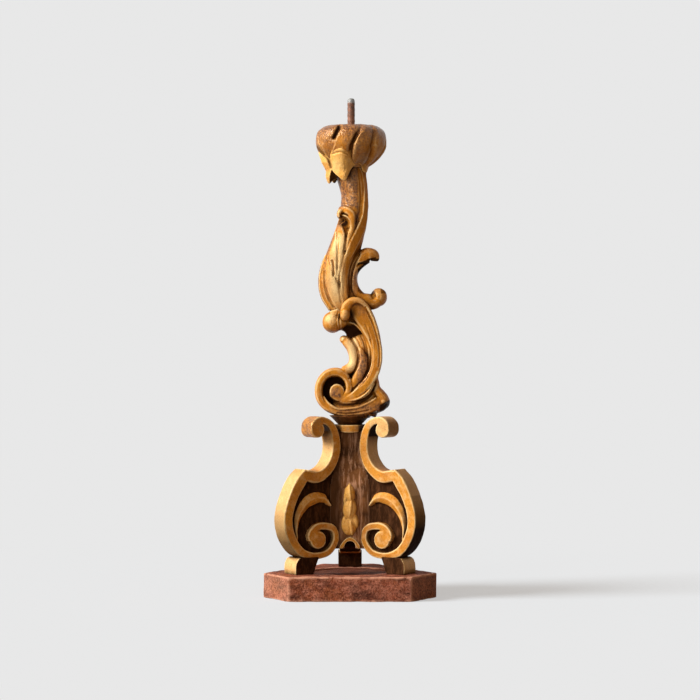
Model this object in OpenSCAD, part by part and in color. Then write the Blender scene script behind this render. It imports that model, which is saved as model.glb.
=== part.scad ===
// Carved and gilded candle stand: a painted three-sided plinth, three scroll boards on feet,
// an S-shaped stem of leaves and scrolls, a lobed cup and an iron pricket.
// Millimetres, +Z up. The origin is on the floor, under the middle of the scroll boards.

/* [Plinth] */
// Length of a long side of the three-sided plinth
plinth_side = 157; // [150:1:175]
// Length of a clipped corner of the plinth
plinth_clip = 67; // [62:1:75]
// Height of the plinth
plinth_h = 31.5; // [27:0.5:40]
// Radius of the plinth's upright corners
plinth_corner_r = 4; // [1:0.5:8]
// Diameter of the round recess in the plinth's top
recess_d = 106; // [80:1:108]
// Depth of the round recess
recess_depth = 2.5; // [1:0.5:5]

/* [Feet] */
// Height of a foot from the plinth to its board
foot_h = 19; // [15:0.5:26]
// Width of a foot across its board
foot_w = 31; // [29:0.5:36]
// Length of a foot, away from the stem's axis
foot_l = 26; // [22:0.5:28]
// How far a foot leans outward towards the floor
foot_lean = 8; // [4:0.5:10]
// How deep a foot is let into its board
foot_seat = 2.5; // [1:0.5:4]

/* [Scroll boards] */
// Height of a scroll board
board_h = 182.5; // [175:0.5:195]
// Reach of a board's belly from the stem's axis
board_reach = 105; // [102:0.5:108]
// Thickness of a board over its gilded band
board_t = 28; // [24:0.5:29]
// Thickness of the sunken field inside the band
field_t = 14; // [12:0.5:18]
// Width of the band
band_w = 13; // [11:0.5:14]
// Thickness of a board over its raised frond
frond_t = 24; // [20:0.5:27]
// Radius of the scroll end at a board's top
hook_r = 10; // [9:0.5:11]
// Radius of the eye in the lower scroll
eye_r = 11; // [9:0.5:12]

/* [Post and panels] */
// Width of the six-sided post across its flats
post_af = 28; // [25:0.5:30]
// Height of the hollow under the post
post_lift = 33; // [25:1:45]
// Distance of a panel's face from the stem's axis at the neck
panel_neck_y = 17; // [16:0.5:19]
// Distance of a panel's face from the stem's axis at its fullest
panel_belly_y = 24; // [22:0.5:27]
// Height of a panel's lower edge over the boards' lowest point
panel_lift = 12; // [8:0.5:16]
// Width of the small arched opening in a panel
arch_w = 14; // [10:0.5:16]
// Height of the arched opening
arch_h = 10; // [8:0.5:14]
// Width of the moulding around the arch
arch_moulding = 5.5; // [4:0.5:7]
// How far the arch moulding stands proud of the panel
arch_relief = 3; // [1.5:0.5:5]
// Gap between the arch moulding and the leaf spray over it
spray_gap = 1; // [0.5:0.5:4]
// Length of the leaf spray on a panel
spray_l = 65; // [55:1:72]
// Width of the leaf spray
spray_w = 20; // [16:0.5:24]
// How far the leaf spray stands proud of the panel
spray_relief = 7; // [4:0.5:9]

/* [Cap and collar] */
// Height of the cap plate on the post
cap_h = 8; // [6:0.5:10]
// Radius of the cap plate between the boards
cap_r = 25; // [23:0.5:28]
// Gap between the cap plate and the boards
cap_gap = 0.3; // [0.2:0.1:0.8]
// Height of the collar under the stem
collar_h = 12; // [9:0.5:14]
// Radius of the collar's foot
collar_foot_r = 15; // [12:0.5:18]
// Radius of the collar's top, under the stem
collar_top_r = 27; // [23:0.5:30]

/* [Stem] */
// Height of the lower stem
stem_lower_h = 136; // [128:1:146]
// Height of the upper stem up to its shoulder
stem_upper_h = 172; // [160:1:184]
// Reach of the stem's scrolls to either side
stem_reach = 50; // [46:0.5:54]
// Depth of the stem from front to back
stem_depth = 42; // [36:0.5:48]
// Radius of the turned tenon at the stem's top
tenon_r = 13; // [10:0.5:14]
// Height of the tenon, which the leaf collar fills
tenon_h = 13; // [10:0.5:16]

/* [Cup and pricket] */
// Distance of the cup's axis to the right of the scroll boards' middle
cup_x = 1.5; // [0:0.5:3]
// Height of the cup
cup_h = 55; // [50:0.5:64]
// Largest radius of the cup
cup_r = 46; // [42:0.5:50]
// Radius of the dish in the cup's top
dish_r = 28; // [24:0.5:30]
// Depth of the dish
dish_depth = 8; // [6:0.5:10]
// How far a leaf hangs below the leaf collar's ring
petal_drop = 6.5; // [4:0.5:10]
// Width of the leaf collar's largest leaf
petal_w = 32; // [24:0.5:36]
// Thickness of the leaves
petal_t = 6; // [4:0.5:7]
// Thickness of the leaf collar's ring
petal_ring_t = 6; // [5:0.5:8]
// Radius of the iron pricket
pricket_r = 5; // [4.75:0.25:6]
// Radius of the pricket's tang, under the shoulder that stands in the dish
tang_r = 4.25; // [2.75:0.25:4.25]
// Height of the pricket's tip over the cup's rim
pricket_rise = 36; // [30:0.5:60]
// Depth to which the pricket is set in the stem
pricket_set = 34; // [20:1:44]

/* [Dowels] */
// Radius of the dowels in the feet and the boards
dowel_r = 4; // [3:0.25:4.5]
// Radius of the large dowel under the stem
stem_dowel_r = 8; // [6:0.25:9]
// Radius of the dowel between the two halves of the stem
joint_dowel_r = 7; // [5:0.25:8]
// Depth of a dowel in each piece it holds
dowel_set = 16; // [12:0.5:18]
// Depth of the stem's dowels in each piece they hold
stem_dowel_set = 26; // [20:0.5:32]
// Gap between a dowel and its hole
dowel_gap = 0.2; // [0.1:0.05:0.3]

/* [Hidden] */
$fn = 96;
CURVE_STEPS = 4;
LIMB_SIDES = 12;
FAR = 400;

// Heights of the seams between the pieces
plinth_top = plinth_h;
board_z = plinth_top + foot_h;
foot_top = board_z + foot_seat;
post_z = board_z + post_lift;
cap_z = board_z + 0.896 * board_h;
collar_z = cap_z + cap_h;
stem_z = collar_z + collar_h;
joint_z = stem_z + stem_lower_h;
shoulder_z = joint_z + stem_upper_h;
cup_z = shoulder_z + tenon_h;

// Distances and places that several pieces share
plinth_long_d = (plinth_side + 2 * plinth_clip) / (2 * sqrt(3));
plinth_clip_d = 2 * plinth_long_d - plinth_clip * sqrt(3) / 2;
post_a = post_af / 2;
foot_r = 0.644 * board_reach;
joint_x = 0.06 * stem_reach;
board_dowel_heights = [0.32, 0.6] * board_h;
panel_z = board_z + panel_lift;
spray_mid_z = panel_z + arch_h + arch_moulding + spray_gap + spray_l / 2;

// Where the boards stand around the axis, and how far a panel is turned from the front
LEFT_BOARD_ANGLE = 210;
RIGHT_BOARD_ANGLE = 330;
BACK_BOARD_ANGLE = 90;
FRONT_PANEL_ANGLE = 0;
RIGHT_PANEL_ANGLE = 120;
LEFT_PANEL_ANGLE = 240;

// ---- Curves ----

// A point on the smooth curve through p, between points i and i + 1
function spline_at(p, i, t) =
    let (a = p[max(i - 1, 0)], b = p[i], c = p[i + 1], d = p[min(i + 2, len(p) - 1)])
    (2 * b + (c - a) * t + (2 * a - 5 * b + 4 * c - d) * t * t
        + (3 * b - a - 3 * c + d) * t * t * t) / 2;

// A smooth curve through points of any number of values
function spline(p) = [
    for (i = [0:len(p) - 2], j = [0:CURVE_STEPS - 1]) spline_at(p, i, j / CURVE_STEPS),
    p[len(p) - 1]
];

// The direction of a plane curve at its point i
function heading(p, i) =
    let (d = p[min(i + 1, len(p) - 1)] - p[max(i - 1, 0)], flat = [d[0], d[1]])
    flat / norm(flat);

// One edge of a curve of [x, y, width] points: side is 1 on its left and -1 on its right
function ribbon_edge(p, side) = [
    for (i = [0:len(p) - 1])
        let (h = heading(p, i))
        [p[i][0] - side * h[1] * p[i][2] / 2, p[i][1] + side * h[0] * p[i][2] / 2]
];

function reversed(p) = [for (i = [len(p) - 1:-1:0]) p[i]];

// Where two lines meet, each given by its distance from the origin and its normal's angle
function meet(d1, a1, d2, a2) =
    [d1 * sin(a2) - d2 * sin(a1), d2 * cos(a1) - d1 * cos(a2)] / sin(a2 - a1);

// A flat ribbon of varying width along [x, y, width] points
module ribbon(p) {
    curve = spline(p);
    polygon(concat(ribbon_edge(curve, 1), reversed(ribbon_edge(curve, -1))));
}

// An oval limb along [x, z, width, depth] points, in the plane that faces the front
module limb(p) {
    curve = spline(p);
    last = len(curve) - 1;
    points = [
        for (i = [0:last], k = [0:LIMB_SIDES - 1])
            let (h = heading(curve, i), c = curve[i], a = 360 * k / LIMB_SIDES)
            [
                c[0] + h[1] * cos(a) * c[2] / 2,
                -sin(a) * c[3] / 2,
                c[1] - h[0] * cos(a) * c[2] / 2
            ]
    ];
    walls = [
        for (i = [0:last - 1], k = [0:LIMB_SIDES - 1])
            let (a = i * LIMB_SIDES + k, b = i * LIMB_SIDES + (k + 1) % LIMB_SIDES)
            [a, b, b + LIMB_SIDES, a + LIMB_SIDES]
    ];
    ends = [
        [for (k = [LIMB_SIDES - 1:-1:0]) k],
        [for (k = [0:LIMB_SIDES - 1]) last * LIMB_SIDES + k]
    ];
    triangles = [for (w = walls) each [[w[0], w[1], w[2]], [w[0], w[2], w[3]]]];
    polyhedron(points, concat(triangles, ends), convexity = 6);
}

// Stands a flat outline of [distance from the axis, height] up as a board of thickness t
module upright(t) {
    rotate([90, 0, 0])
        linear_extrude(t, center = true, convexity = 8)
            children();
}

// ---- Plinth and feet ----

module plinth_plan() {
    polygon([
        for (i = [0:5], j = [0:4])
            let (
                a = 30 + 60 * i,
                this = i % 2 == 0 ? plinth_long_d : plinth_clip_d,
                next = i % 2 == 0 ? plinth_clip_d : plinth_long_d,
                middle = meet(this - plinth_corner_r, a, next - plinth_corner_r, a + 60),
                turn = a + 15 * j
            )
            middle + plinth_corner_r * [cos(turn), sin(turn)]
    ]);
}

module plinth() {
    color([0.55, 0.31, 0.24])
        difference() {
            linear_extrude(plinth_h) plinth_plan();
            translate([0, 0, plinth_h - recess_depth])
                cylinder(d = recess_d, h = recess_depth + 1);
            for (corner = [LEFT_BOARD_ANGLE, RIGHT_BOARD_ANGLE, BACK_BOARD_ANGLE])
                rotate(corner) foot_dowel(dowel_gap);
        }
}

// The side of a foot: it leans outward and its outer end is rounded
module foot_side() {
    inner = foot_r - foot_l / 2;
    outer = foot_r + foot_l / 2;
    polygon(concat(
        [[inner, foot_top], [inner + foot_lean, plinth_top]],
        [for (a = [0:15:90])
            [
                outer + foot_lean * cos(a) * (1 + 0.4 * sin(a)),
                plinth_top + (foot_top - plinth_top) * sin(a)
            ]]
    ));
}

module foot(corner) {
    color([0.62, 0.44, 0.18])
        rotate(corner)
            difference() {
                upright(foot_w) foot_side();
                foot_dowel(dowel_gap);
            }
}

// An upright dowel from the plinth through a foot into its board, with a gap around it
module foot_dowel(gap) {
    translate([foot_r, 0, plinth_top - dowel_set - gap])
        cylinder(r = dowel_r + gap, h = board_z + dowel_set - plinth_top + dowel_set + 2 * gap);
}

module foot_dowels() {
    color("burlywood")
        for (corner = [LEFT_BOARD_ANGLE, RIGHT_BOARD_ANGLE, BACK_BOARD_ANGLE])
            rotate(corner) foot_dowel(0);
}

// ---- Scroll boards ----

// Points of a board as shares of its reach, its height and the width of its band
function on_board(shares) = [
    for (s = shares) [s[0] * board_reach, board_z + s[1] * board_h, s[2] * band_w]
];

// The neck: from the scroll end at the top, down and out to the cusp
neck_path = on_board([
    [0.585, 0.905, 0.62], [0.57, 0.945, 0.75], [0.51, 0.972, 0.76], [0.43, 0.972, 0.74],
    [0.345, 0.942, 0.84], [0.29, 0.885, 0.96], [0.262, 0.80, 1.00], [0.28, 0.72, 1.00], [0.335, 0.655, 1.02], [0.42, 0.605, 1.08],
    [0.53, 0.577, 1.20], [0.68, 0.59, 1.15]
]);

// The belly: from the cusp, down and under to the lower scroll and its eye
belly_path = on_board([
    [0.665, 0.615, 0.90], [0.76, 0.545, 1.20], [0.86, 0.445, 1.08], [0.93, 0.32, 1.03],
    [0.928, 0.22, 1.02], [0.865, 0.125, 1.00], [0.76, 0.055, 0.92], [0.63, 0.026, 0.72],
    [0.49, 0.024, 0.66], [0.36, 0.05, 0.68], [0.27, 0.125, 0.70], [0.29, 0.2, 0.70],
    [0.40, 0.228, 0.72], [0.54, 0.222, 0.72], [0.62, 0.172, 0.70], [0.61, 0.13, 0.6]
]);

frond_path = on_board([
    [0.335, 0.385, 0.15], [0.42, 0.42, 0.75], [0.53, 0.43, 1.20], [0.64, 0.412, 1.30],
    [0.735, 0.36, 1.10], [0.79, 0.29, 0.85], [0.81, 0.22, 0.60], [0.80, 0.14, 0.25]
]);

// The sunken field, from the post out to the middle of the band
field_outline = [
    for (s = [
        [0.25, 0.085], [0.36, 0.05], [0.49, 0.024], [0.63, 0.026], [0.76, 0.055],
        [0.865, 0.125], [0.928, 0.22], [0.93, 0.32], [0.86, 0.445], [0.76, 0.545],
        [0.66, 0.59], [0.53, 0.577], [0.42, 0.605], [0.335, 0.655], [0.28, 0.72],
        [0.262, 0.80]
    ])
        [s[0] * board_reach, board_z + s[1] * board_h]
];

module board_band() {
    upright(board_t) {
        ribbon(neck_path);
        ribbon(belly_path);
        translate([0.528 * board_reach, board_z + 0.908 * board_h]) circle(hook_r);
        translate([0.52 * board_reach, board_z + 0.134 * board_h]) circle(eye_r);
    }
}

module board_field() {
    upright(field_t)
        polygon(concat(
            [[post_a, cap_z], [post_a, board_z + 0.085 * board_h]],
            field_outline,
            [[0.27 * board_reach, cap_z]]
        ));
}

// A dowel from the post into a board, with a gap around it
module board_dowel(gap) {
    for (height = board_dowel_heights)
        translate([post_a - 0.6 * post_a - gap, 0, board_z + height])
            rotate([0, 90, 0])
                cylinder(r = dowel_r + gap, h = 0.6 * post_a + dowel_set + 2 * gap);
}

module scroll_board(corner) {
    color([0.80, 0.57, 0.25])
        rotate(corner)
            difference() {
                union() {
                    board_band();
                    board_field();
                    upright(frond_t) ribbon(frond_path);
                }
                translate([foot_r - foot_l / 2, -FAR / 2, board_z - 1])
                    cube([foot_l, FAR, foot_seat + 1]);
                foot_dowel(dowel_gap);
                board_dowel(dowel_gap);
            }
}

module board_dowels() {
    color("burlywood")
        for (corner = [LEFT_BOARD_ANGLE, RIGHT_BOARD_ANGLE, BACK_BOARD_ANGLE])
            rotate(corner) board_dowel(0);
}

// ---- Post and panels ----

module core_post() {
    color([0.36, 0.22, 0.14])
        difference() {
            translate([0, 0, post_z])
                cylinder(r = post_a / cos(30), h = cap_z - post_z, $fn = 6);
            for (corner = [LEFT_BOARD_ANGLE, RIGHT_BOARD_ANGLE, BACK_BOARD_ANGLE])
                rotate(corner) board_dowel(dowel_gap);
            stem_dowel_body(dowel_gap);
        }
}

// How far a panel's face stands out at a share of the board's height
function panel_y(share) =
    panel_neck_y + (panel_belly_y - panel_neck_y) * (share > 0.8 ? 0
        : share < 0.45 ? 1 - 0.5 * pow((0.45 - share) / 0.45, 2)
        : (1 + cos(180 * (share - 0.45) / 0.35)) / 2);

// A slab with the panel's curved face, moved outward by proud
module panel_slab(proud) {
    shares = [for (i = [0:16]) panel_lift / board_h + i / 16 * (0.896 - panel_lift / board_h)];
    rotate([90, 0, -90])
        linear_extrude(FAR / 2, center = true)
            polygon(concat(
                [[post_a, cap_z], [post_a, panel_z]],
                [for (s = shares) [panel_y(s) + proud, board_z + s * board_h]]
            ));
}

// The plan of the space between the fields of two boards
module between_boards() {
    reach = 2 * panel_belly_y;
    linear_extrude(FAR)
        polygon([
            for (p = [[-1, post_a], [1, post_a], [1, reach], [-1, reach]])
                [p[0] * (sqrt(3) * p[1] - field_t), -p[1]]
        ]);
}

module arch_opening() {
    upright(FAR) {
        translate([0, panel_z + arch_h - arch_w / 2]) circle(arch_w / 2);
        translate([-arch_w / 2, panel_z - 1]) square([arch_w, arch_h - arch_w / 2 + 1]);
    }
}

module front_half() {
    translate([-FAR / 2, -FAR / 2, 0]) cube([FAR, FAR / 2, FAR]);
}

// The raised parts of the two boards beside a panel, to which its pieces are fitted
module neighbour_bands() {
    for (corner = [LEFT_BOARD_ANGLE, RIGHT_BOARD_ANGLE])
        rotate(corner) {
            board_band();
            upright(board_t)
                translate([0.45 * board_reach, board_z + 0.126 * board_h])
                    circle(0.19 * board_reach);
        }
}

module panel(side) {
    color([0.30, 0.19, 0.12])
        rotate(side)
            difference() {
                intersection() {
                    panel_slab(0);
                    between_boards();
                }
                neighbour_bands();
                arch_opening();
            }
}

// A gilded moulding around the arch, with its feet turned outward
module arch(side) {
    half = (arch_w + arch_moulding) / 2;
    foot_out = half + 0.3 * arch_moulding;
    color([0.82, 0.60, 0.28])
        rotate(side)
            difference() {
                intersection() {
                    panel_slab(arch_relief);
                    upright(FAR)
                        ribbon([
                            [-foot_out, panel_z, 0.6 * arch_moulding],
                            [-half, panel_z + 0.45 * arch_h, 0.9 * arch_moulding],
                            [0, panel_z + arch_h + arch_moulding / 2, arch_moulding],
                            [half, panel_z + 0.45 * arch_h, 0.9 * arch_moulding],
                            [foot_out, panel_z, 0.6 * arch_moulding]
                        ]);
                    front_half();
                }
                panel_slab(0);
                neighbour_bands();
                arch_opening();
            }
}

// A pointed ear of small leaves on each panel
module leaf_spray(side) {
    widths = [0.15, 0.55, 0.68, 0.82, 0.74, 0.9, 0.8, 1, 0.72, 0.95, 0.88, 0.35];
    outline = [
        for (i = [0:len(widths) - 1])
            [0, spray_mid_z + spray_l * (0.5 - i / (len(widths) - 1)), widths[i] * spray_w]
    ];
    color([0.85, 0.64, 0.30])
        rotate(side)
            difference() {
                union() {
                    intersection() {
                        panel_slab(0.6 * spray_relief);
                        upright(FAR) ribbon(outline);
                        front_half();
                    }
                    intersection() {
                        panel_slab(spray_relief);
                        upright(FAR) ribbon([for (p = outline) [p[0], p[1], 0.5 * p[2]]]);
                        front_half();
                    }
                }
                panel_slab(0);
                neighbour_bands();
            }
}

// ---- Cap and collar ----

module cap_plate() {
    color([0.78, 0.56, 0.26])
        translate([0, 0, cap_z])
            difference() {
                cylinder(r = cap_r, h = cap_h);
                for (corner = [LEFT_BOARD_ANGLE, RIGHT_BOARD_ANGLE, BACK_BOARD_ANGLE])
                    rotate(corner)
                        translate([0.2 * board_reach - cap_gap, -board_t / 2 - cap_gap, -1])
                            cube([FAR, board_t + 2 * cap_gap, cap_h + 2]);
                translate([0, 0, -1]) cylinder(r = stem_dowel_r + dowel_gap, h = cap_h + 2);
            }
}

module stem_collar() {
    hollow = 0.3 * (collar_top_r - collar_foot_r);
    color([0.22, 0.14, 0.09])
        translate([0, 0, collar_z])
            difference() {
                rotate_extrude()
                    polygon(concat(
                        [[0, 0]],
                        [for (t = [0:0.1:1])
                            [
                                collar_foot_r + (collar_top_r - collar_foot_r) * t
                                    - hollow * sin(180 * t),
                                t * collar_h
                            ]],
                        [[0, collar_h]]
                    ));
                translate([0, 0, -1]) cylinder(r = stem_dowel_r + dowel_gap, h = collar_h + 2);
            }
}

// The large dowel that stands in the post and carries the stem
module stem_dowel_body(gap) {
    translate([0, 0, cap_z - stem_dowel_set - gap])
        cylinder(
            r = stem_dowel_r + gap,
            h = stem_z + stem_dowel_set - cap_z + stem_dowel_set + 2 * gap
        );
}

module stem_dowel() {
    color("burlywood") stem_dowel_body(0);
}

// ---- Stem ----

// Points of the lower stem as shares of the stem's reach and its own height
function on_lower(shares) = [
    for (s = shares)
        [
            s[0] * stem_reach, stem_z + s[1] * stem_lower_h,
            s[2] * stem_reach, s[3] * stem_depth
        ]
];

// Points of the upper stem as shares of the stem's reach and its own height
function on_upper(shares) = [
    for (s = shares)
        [
            s[0] * stem_reach, joint_z + s[1] * stem_upper_h,
            s[2] * stem_reach, s[3] * stem_depth
        ]
];

// The body of the lower stem, behind its leaves
lower_body = on_lower([
    [0.00, -0.08, 1.00, 0.92], [0.02, 0.02, 1.12, 0.95], [0.12, 0.12, 1.24, 0.97],
    [0.20, 0.22, 1.05, 0.93], [0.26, 0.32, 0.86, 0.87], [0.32, 0.44, 0.74, 0.80],
    [0.34, 0.55, 0.68, 0.77], [0.30, 0.68, 0.72, 0.78], [0.18, 0.82, 0.85, 0.84],
    [0.04, 0.94, 0.98, 0.92], [-0.04, 1.06, 1.02, 0.94]
]);

// The great C-shaped band: down the right side, under and up into the scroll on the left
lower_band = on_lower([
    [0.28, 1.00, 0.42, 0.80], [0.48, 0.87, 0.40, 0.85], [0.64, 0.72, 0.33, 0.90],
    [0.70, 0.57, 0.28, 0.94], [0.68, 0.45, 0.26, 0.96], [0.59, 0.345, 0.27, 1.0],
    [0.42, 0.25, 0.28, 1.0], [0.16, 0.16, 0.28, 1.0], [-0.16, 0.10, 0.27, 1.0],
    [-0.44, 0.08, 0.24, 0.98], [-0.68, 0.12, 0.21, 0.95], [-0.81, 0.215, 0.20, 0.92],
    [-0.78, 0.325, 0.21, 0.90], [-0.58, 0.405, 0.21, 0.88], [-0.30, 0.415, 0.20, 0.86],
    [-0.08, 0.36, 0.17, 0.84], [-0.01, 0.265, 0.15, 0.82], [-0.14, 0.185, 0.13, 0.8]
]);

// A short leaf that rises inside the band
lower_leaf = on_lower([
    [-0.19, 0.735, 0.10, 0.35], [-0.10, 0.65, 0.19, 0.5], [-0.01, 0.57, 0.20, 0.6],
    [0.00, 0.49, 0.20, 0.65], [-0.08, 0.435, 0.22, 0.7], [-0.28, 0.42, 0.16, 0.7]
]);

// A leaf that curls outward at the foot of the band
lower_curl = on_lower([
    [0.60, 0.38, 0.20, 0.50], [0.72, 0.29, 0.32, 0.62], [0.86, 0.19, 0.36, 0.68],
    [0.90, 0.12, 0.30, 0.66], [0.80, 0.06, 0.18, 0.50]
]);

// The ball-ended leaf under the joint, on the left
lower_ball = on_lower([
    [0.10, 0.93, 0.30, 0.50], [-0.15, 0.915, 0.46, 0.62], [-0.34, 0.90, 0.57, 0.68],
    [-0.52, 0.89, 0.57, 0.66], [-0.66, 0.885, 0.42, 0.48], [-0.71, 0.885, 0.10, 0.12]
]);

module stem_lower() {
    color([0.78, 0.53, 0.20])
        difference() {
            union() {
                limb(lower_body);
                limb(lower_band);
                limb(lower_leaf);
                limb(lower_curl);
                limb(lower_ball);
                translate([-0.34 * stem_reach, 0, stem_z + 0.225 * stem_lower_h])
                    rotate([90, 0, 0]) {
                        cylinder(r = 0.18 * stem_reach, h = 0.8 * stem_depth, center = true);
                        cylinder(r = 0.5 * stem_reach, h = 0.4 * stem_depth, center = true);
                    }
            }
            translate([-FAR / 2, -FAR / 2, joint_z]) cube([FAR, FAR, FAR]);
            translate([-FAR / 2, -FAR / 2, stem_z - FAR]) cube([FAR, FAR, FAR]);
            stem_dowel_body(dowel_gap);
            joint_dowel_body(dowel_gap);
        }
}

// The dowel between the two halves of the stem
module joint_dowel_body(gap) {
    translate([joint_x, 0, joint_z - stem_dowel_set - gap])
        cylinder(r = joint_dowel_r + gap, h = 2 * stem_dowel_set + 2 * gap);
}

module joint_dowel() {
    color("burlywood") joint_dowel_body(0);
}

// The long S-shaped body of the upper stem
upper_body = on_upper([
    [0.06, -0.08, 0.96, 0.93], [-0.04, -0.01, 0.98, 0.95], [-0.18, 0.06, 0.97, 0.98],
    [-0.28, 0.12, 0.98, 1.00], [-0.33, 0.19, 0.97, 1.00], [-0.34, 0.265, 0.94, 1.00],
    [-0.27, 0.37, 0.92, 0.98], [-0.14, 0.47, 0.92, 0.96], [-0.04, 0.56, 0.88, 0.94],
    [0.04, 0.64, 0.84, 0.90], [0.09, 0.715, 0.78, 0.86], [0.12, 0.78, 0.73, 0.83],
    [0.12, 0.895, 0.71, 0.80], [0.08, 0.98, 0.72, 0.80], [0.06, 1.06, 0.72, 0.80]
]);

// The C-shaped scroll on the upper stem's right side
upper_scroll = on_upper([
    [0.70, 0.39, 0.16, 0.45], [0.64, 0.43, 0.24, 0.52], [0.46, 0.43, 0.30, 0.60],
    [0.26, 0.39, 0.32, 0.66], [0.11, 0.315, 0.28, 0.70], [0.07, 0.235, 0.28, 0.70],
    [0.16, 0.15, 0.28, 0.70], [0.36, 0.096, 0.28, 0.68], [0.58, 0.084, 0.28, 0.62],
    [0.72, 0.105, 0.40, 0.58], [0.86, 0.118, 0.30, 0.42], [0.93, 0.122, 0.08, 0.12]
]);

module stem_upper() {
    color([0.80, 0.55, 0.20])
        difference() {
            union() {
                difference() {
                    limb(upper_body);
                    translate([-FAR / 2, -FAR / 2, shoulder_z]) cube([FAR, FAR, FAR]);
                }
                limb(upper_scroll);
                translate([cup_x, 0, shoulder_z - 1]) cylinder(r = tenon_r, h = tenon_h + 1);
            }
            translate([-FAR / 2, -FAR / 2, joint_z - FAR]) cube([FAR, FAR, FAR]);
            joint_dowel_body(dowel_gap);
            pricket_hole();
        }
}

// ---- Cup ----

module pricket_hole() {
    translate([cup_x, 0, cup_z - pricket_set - dowel_gap])
        cylinder(r = tang_r + dowel_gap, h = FAR);
}

// The cup's side, from its foot to its rim, as [radius, height over the foot]
cup_side = spline([for (p = [
    [0.45, 0.0], [0.61, 0.10], [0.74, 0.195], [0.86, 0.31], [0.94, 0.42], [0.985, 0.53],
    [1.0, 0.65], [0.985, 0.77], [0.925, 0.88], [0.80, 0.965], [0.69, 1.0]
]) [p[0] * cup_r, p[1] * cup_h]]);

module cup_body() {
    translate([cup_x, 0, cup_z])
        rotate_extrude()
            polygon(concat([[0, 0]], cup_side, [[0, cup_h]]));
}

// One leaf of the collar, at an angle around the cup's axis, with its size as a share: it is
// rooted in the ring, lies up the cup's side and hangs down with its tip outward
module petal(angle, size) {
    ring_r = tenon_r + petal_ring_t;
    w = petal_w * size;
    translate([cup_x, 0, 0])
        rotate(angle) {
            limb([
                [ring_r - 3, shoulder_z + 0.42 * tenon_h, petal_t, 0.5 * w],
                [0.54 * cup_r, cup_z - 0.2 * tenon_h, petal_t, 0.7 * w],
                [0.70 * cup_r, cup_z + 0.055 * cup_h, petal_t, 0.6 * w]
            ]);
            limb([
                [0.94 * cup_r, cup_z + 0.42 * cup_h * size, 0.25 * petal_t, 0.25 * w],
                [0.89 * cup_r, cup_z + 0.29 * cup_h * size, 0.7 * petal_t, 0.42 * w],
                [0.81 * cup_r, cup_z + 0.135 * cup_h * size, petal_t, 0.75 * w],
                [0.72 * cup_r, shoulder_z + 0.88 * tenon_h, petal_t, w],
                [0.705 * cup_r, shoulder_z + 0.27 * tenon_h, 0.8 * petal_t, 0.85 * w],
                [0.66 * cup_r, shoulder_z - 0.4 * petal_drop * size, 0.6 * petal_t, 0.5 * w],
                [0.62 * cup_r, shoulder_z - petal_drop * size, 0.2 * petal_t, 0.12 * w]
            ]);
        }
}

module leaf_collar() {
    color([0.90, 0.68, 0.32])
        difference() {
            union() {
                translate([cup_x, 0, shoulder_z])
                    cylinder(r = tenon_r + petal_ring_t, h = tenon_h);
                petal(250, 1);
                petal(194, 0.95);
                petal(138, 0.9);
                petal(82, 0.95);
            }
            translate([cup_x, 0, shoulder_z - 1])
                cylinder(r = tenon_r + dowel_gap, h = tenon_h + 2);
            limb(upper_body);
            cup_body();
        }
}

module cup() {
    color([0.66, 0.43, 0.18])
        difference() {
            cup_body();
            translate([cup_x, 0, cup_z + cup_h])
                rotate_extrude()
                    polygon([
                        [0, -dish_depth], [0.8 * dish_r, -dish_depth], [dish_r, 0],
                        [dish_r, 1], [0, 1]
                    ]);
            pricket_hole();
        }
}

// The pricket's shoulder stands in the dish, and its tang goes through the cup into the stem
module pricket() {
    tip = 0.35 * pricket_r;
    shoulder = pricket_set + cup_h - dish_depth;
    length = pricket_set + cup_h + pricket_rise;
    color([0.42, 0.31, 0.25])
        translate([cup_x, 0, cup_z - pricket_set])
            rotate_extrude()
                polygon([
                    [0, 0], [tang_r, 0], [tang_r, shoulder], [pricket_r, shoulder],
                    [pricket_r, length - 2 * tip], [pricket_r - 0.3 * tip, length - tip],
                    [pricket_r - tip, length - 0.3 * tip], [pricket_r - 2 * tip, length],
                    [0, length]
                ]);
}

plinth();
foot(LEFT_BOARD_ANGLE);  // foot_left
foot(RIGHT_BOARD_ANGLE);  // foot_right
foot(BACK_BOARD_ANGLE);  // foot_back
foot_dowels();
scroll_board(LEFT_BOARD_ANGLE);  // scroll_left
scroll_board(RIGHT_BOARD_ANGLE);  // scroll_right
scroll_board(BACK_BOARD_ANGLE);  // scroll_back
core_post();
board_dowels();
panel(FRONT_PANEL_ANGLE);  // panel_front
panel(RIGHT_PANEL_ANGLE);  // panel_right
panel(LEFT_PANEL_ANGLE);  // panel_left
arch(FRONT_PANEL_ANGLE);  // arch_front
arch(RIGHT_PANEL_ANGLE);  // arch_right
arch(LEFT_PANEL_ANGLE);  // arch_left
leaf_spray(FRONT_PANEL_ANGLE);  // leaf_spray_front
leaf_spray(RIGHT_PANEL_ANGLE);  // leaf_spray_right
leaf_spray(LEFT_PANEL_ANGLE);  // leaf_spray_left
cap_plate();
stem_collar();
stem_dowel();
stem_lower();
joint_dowel();
stem_upper();
leaf_collar();
cup();
pricket();
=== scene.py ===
import math
from functools import partial

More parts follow.
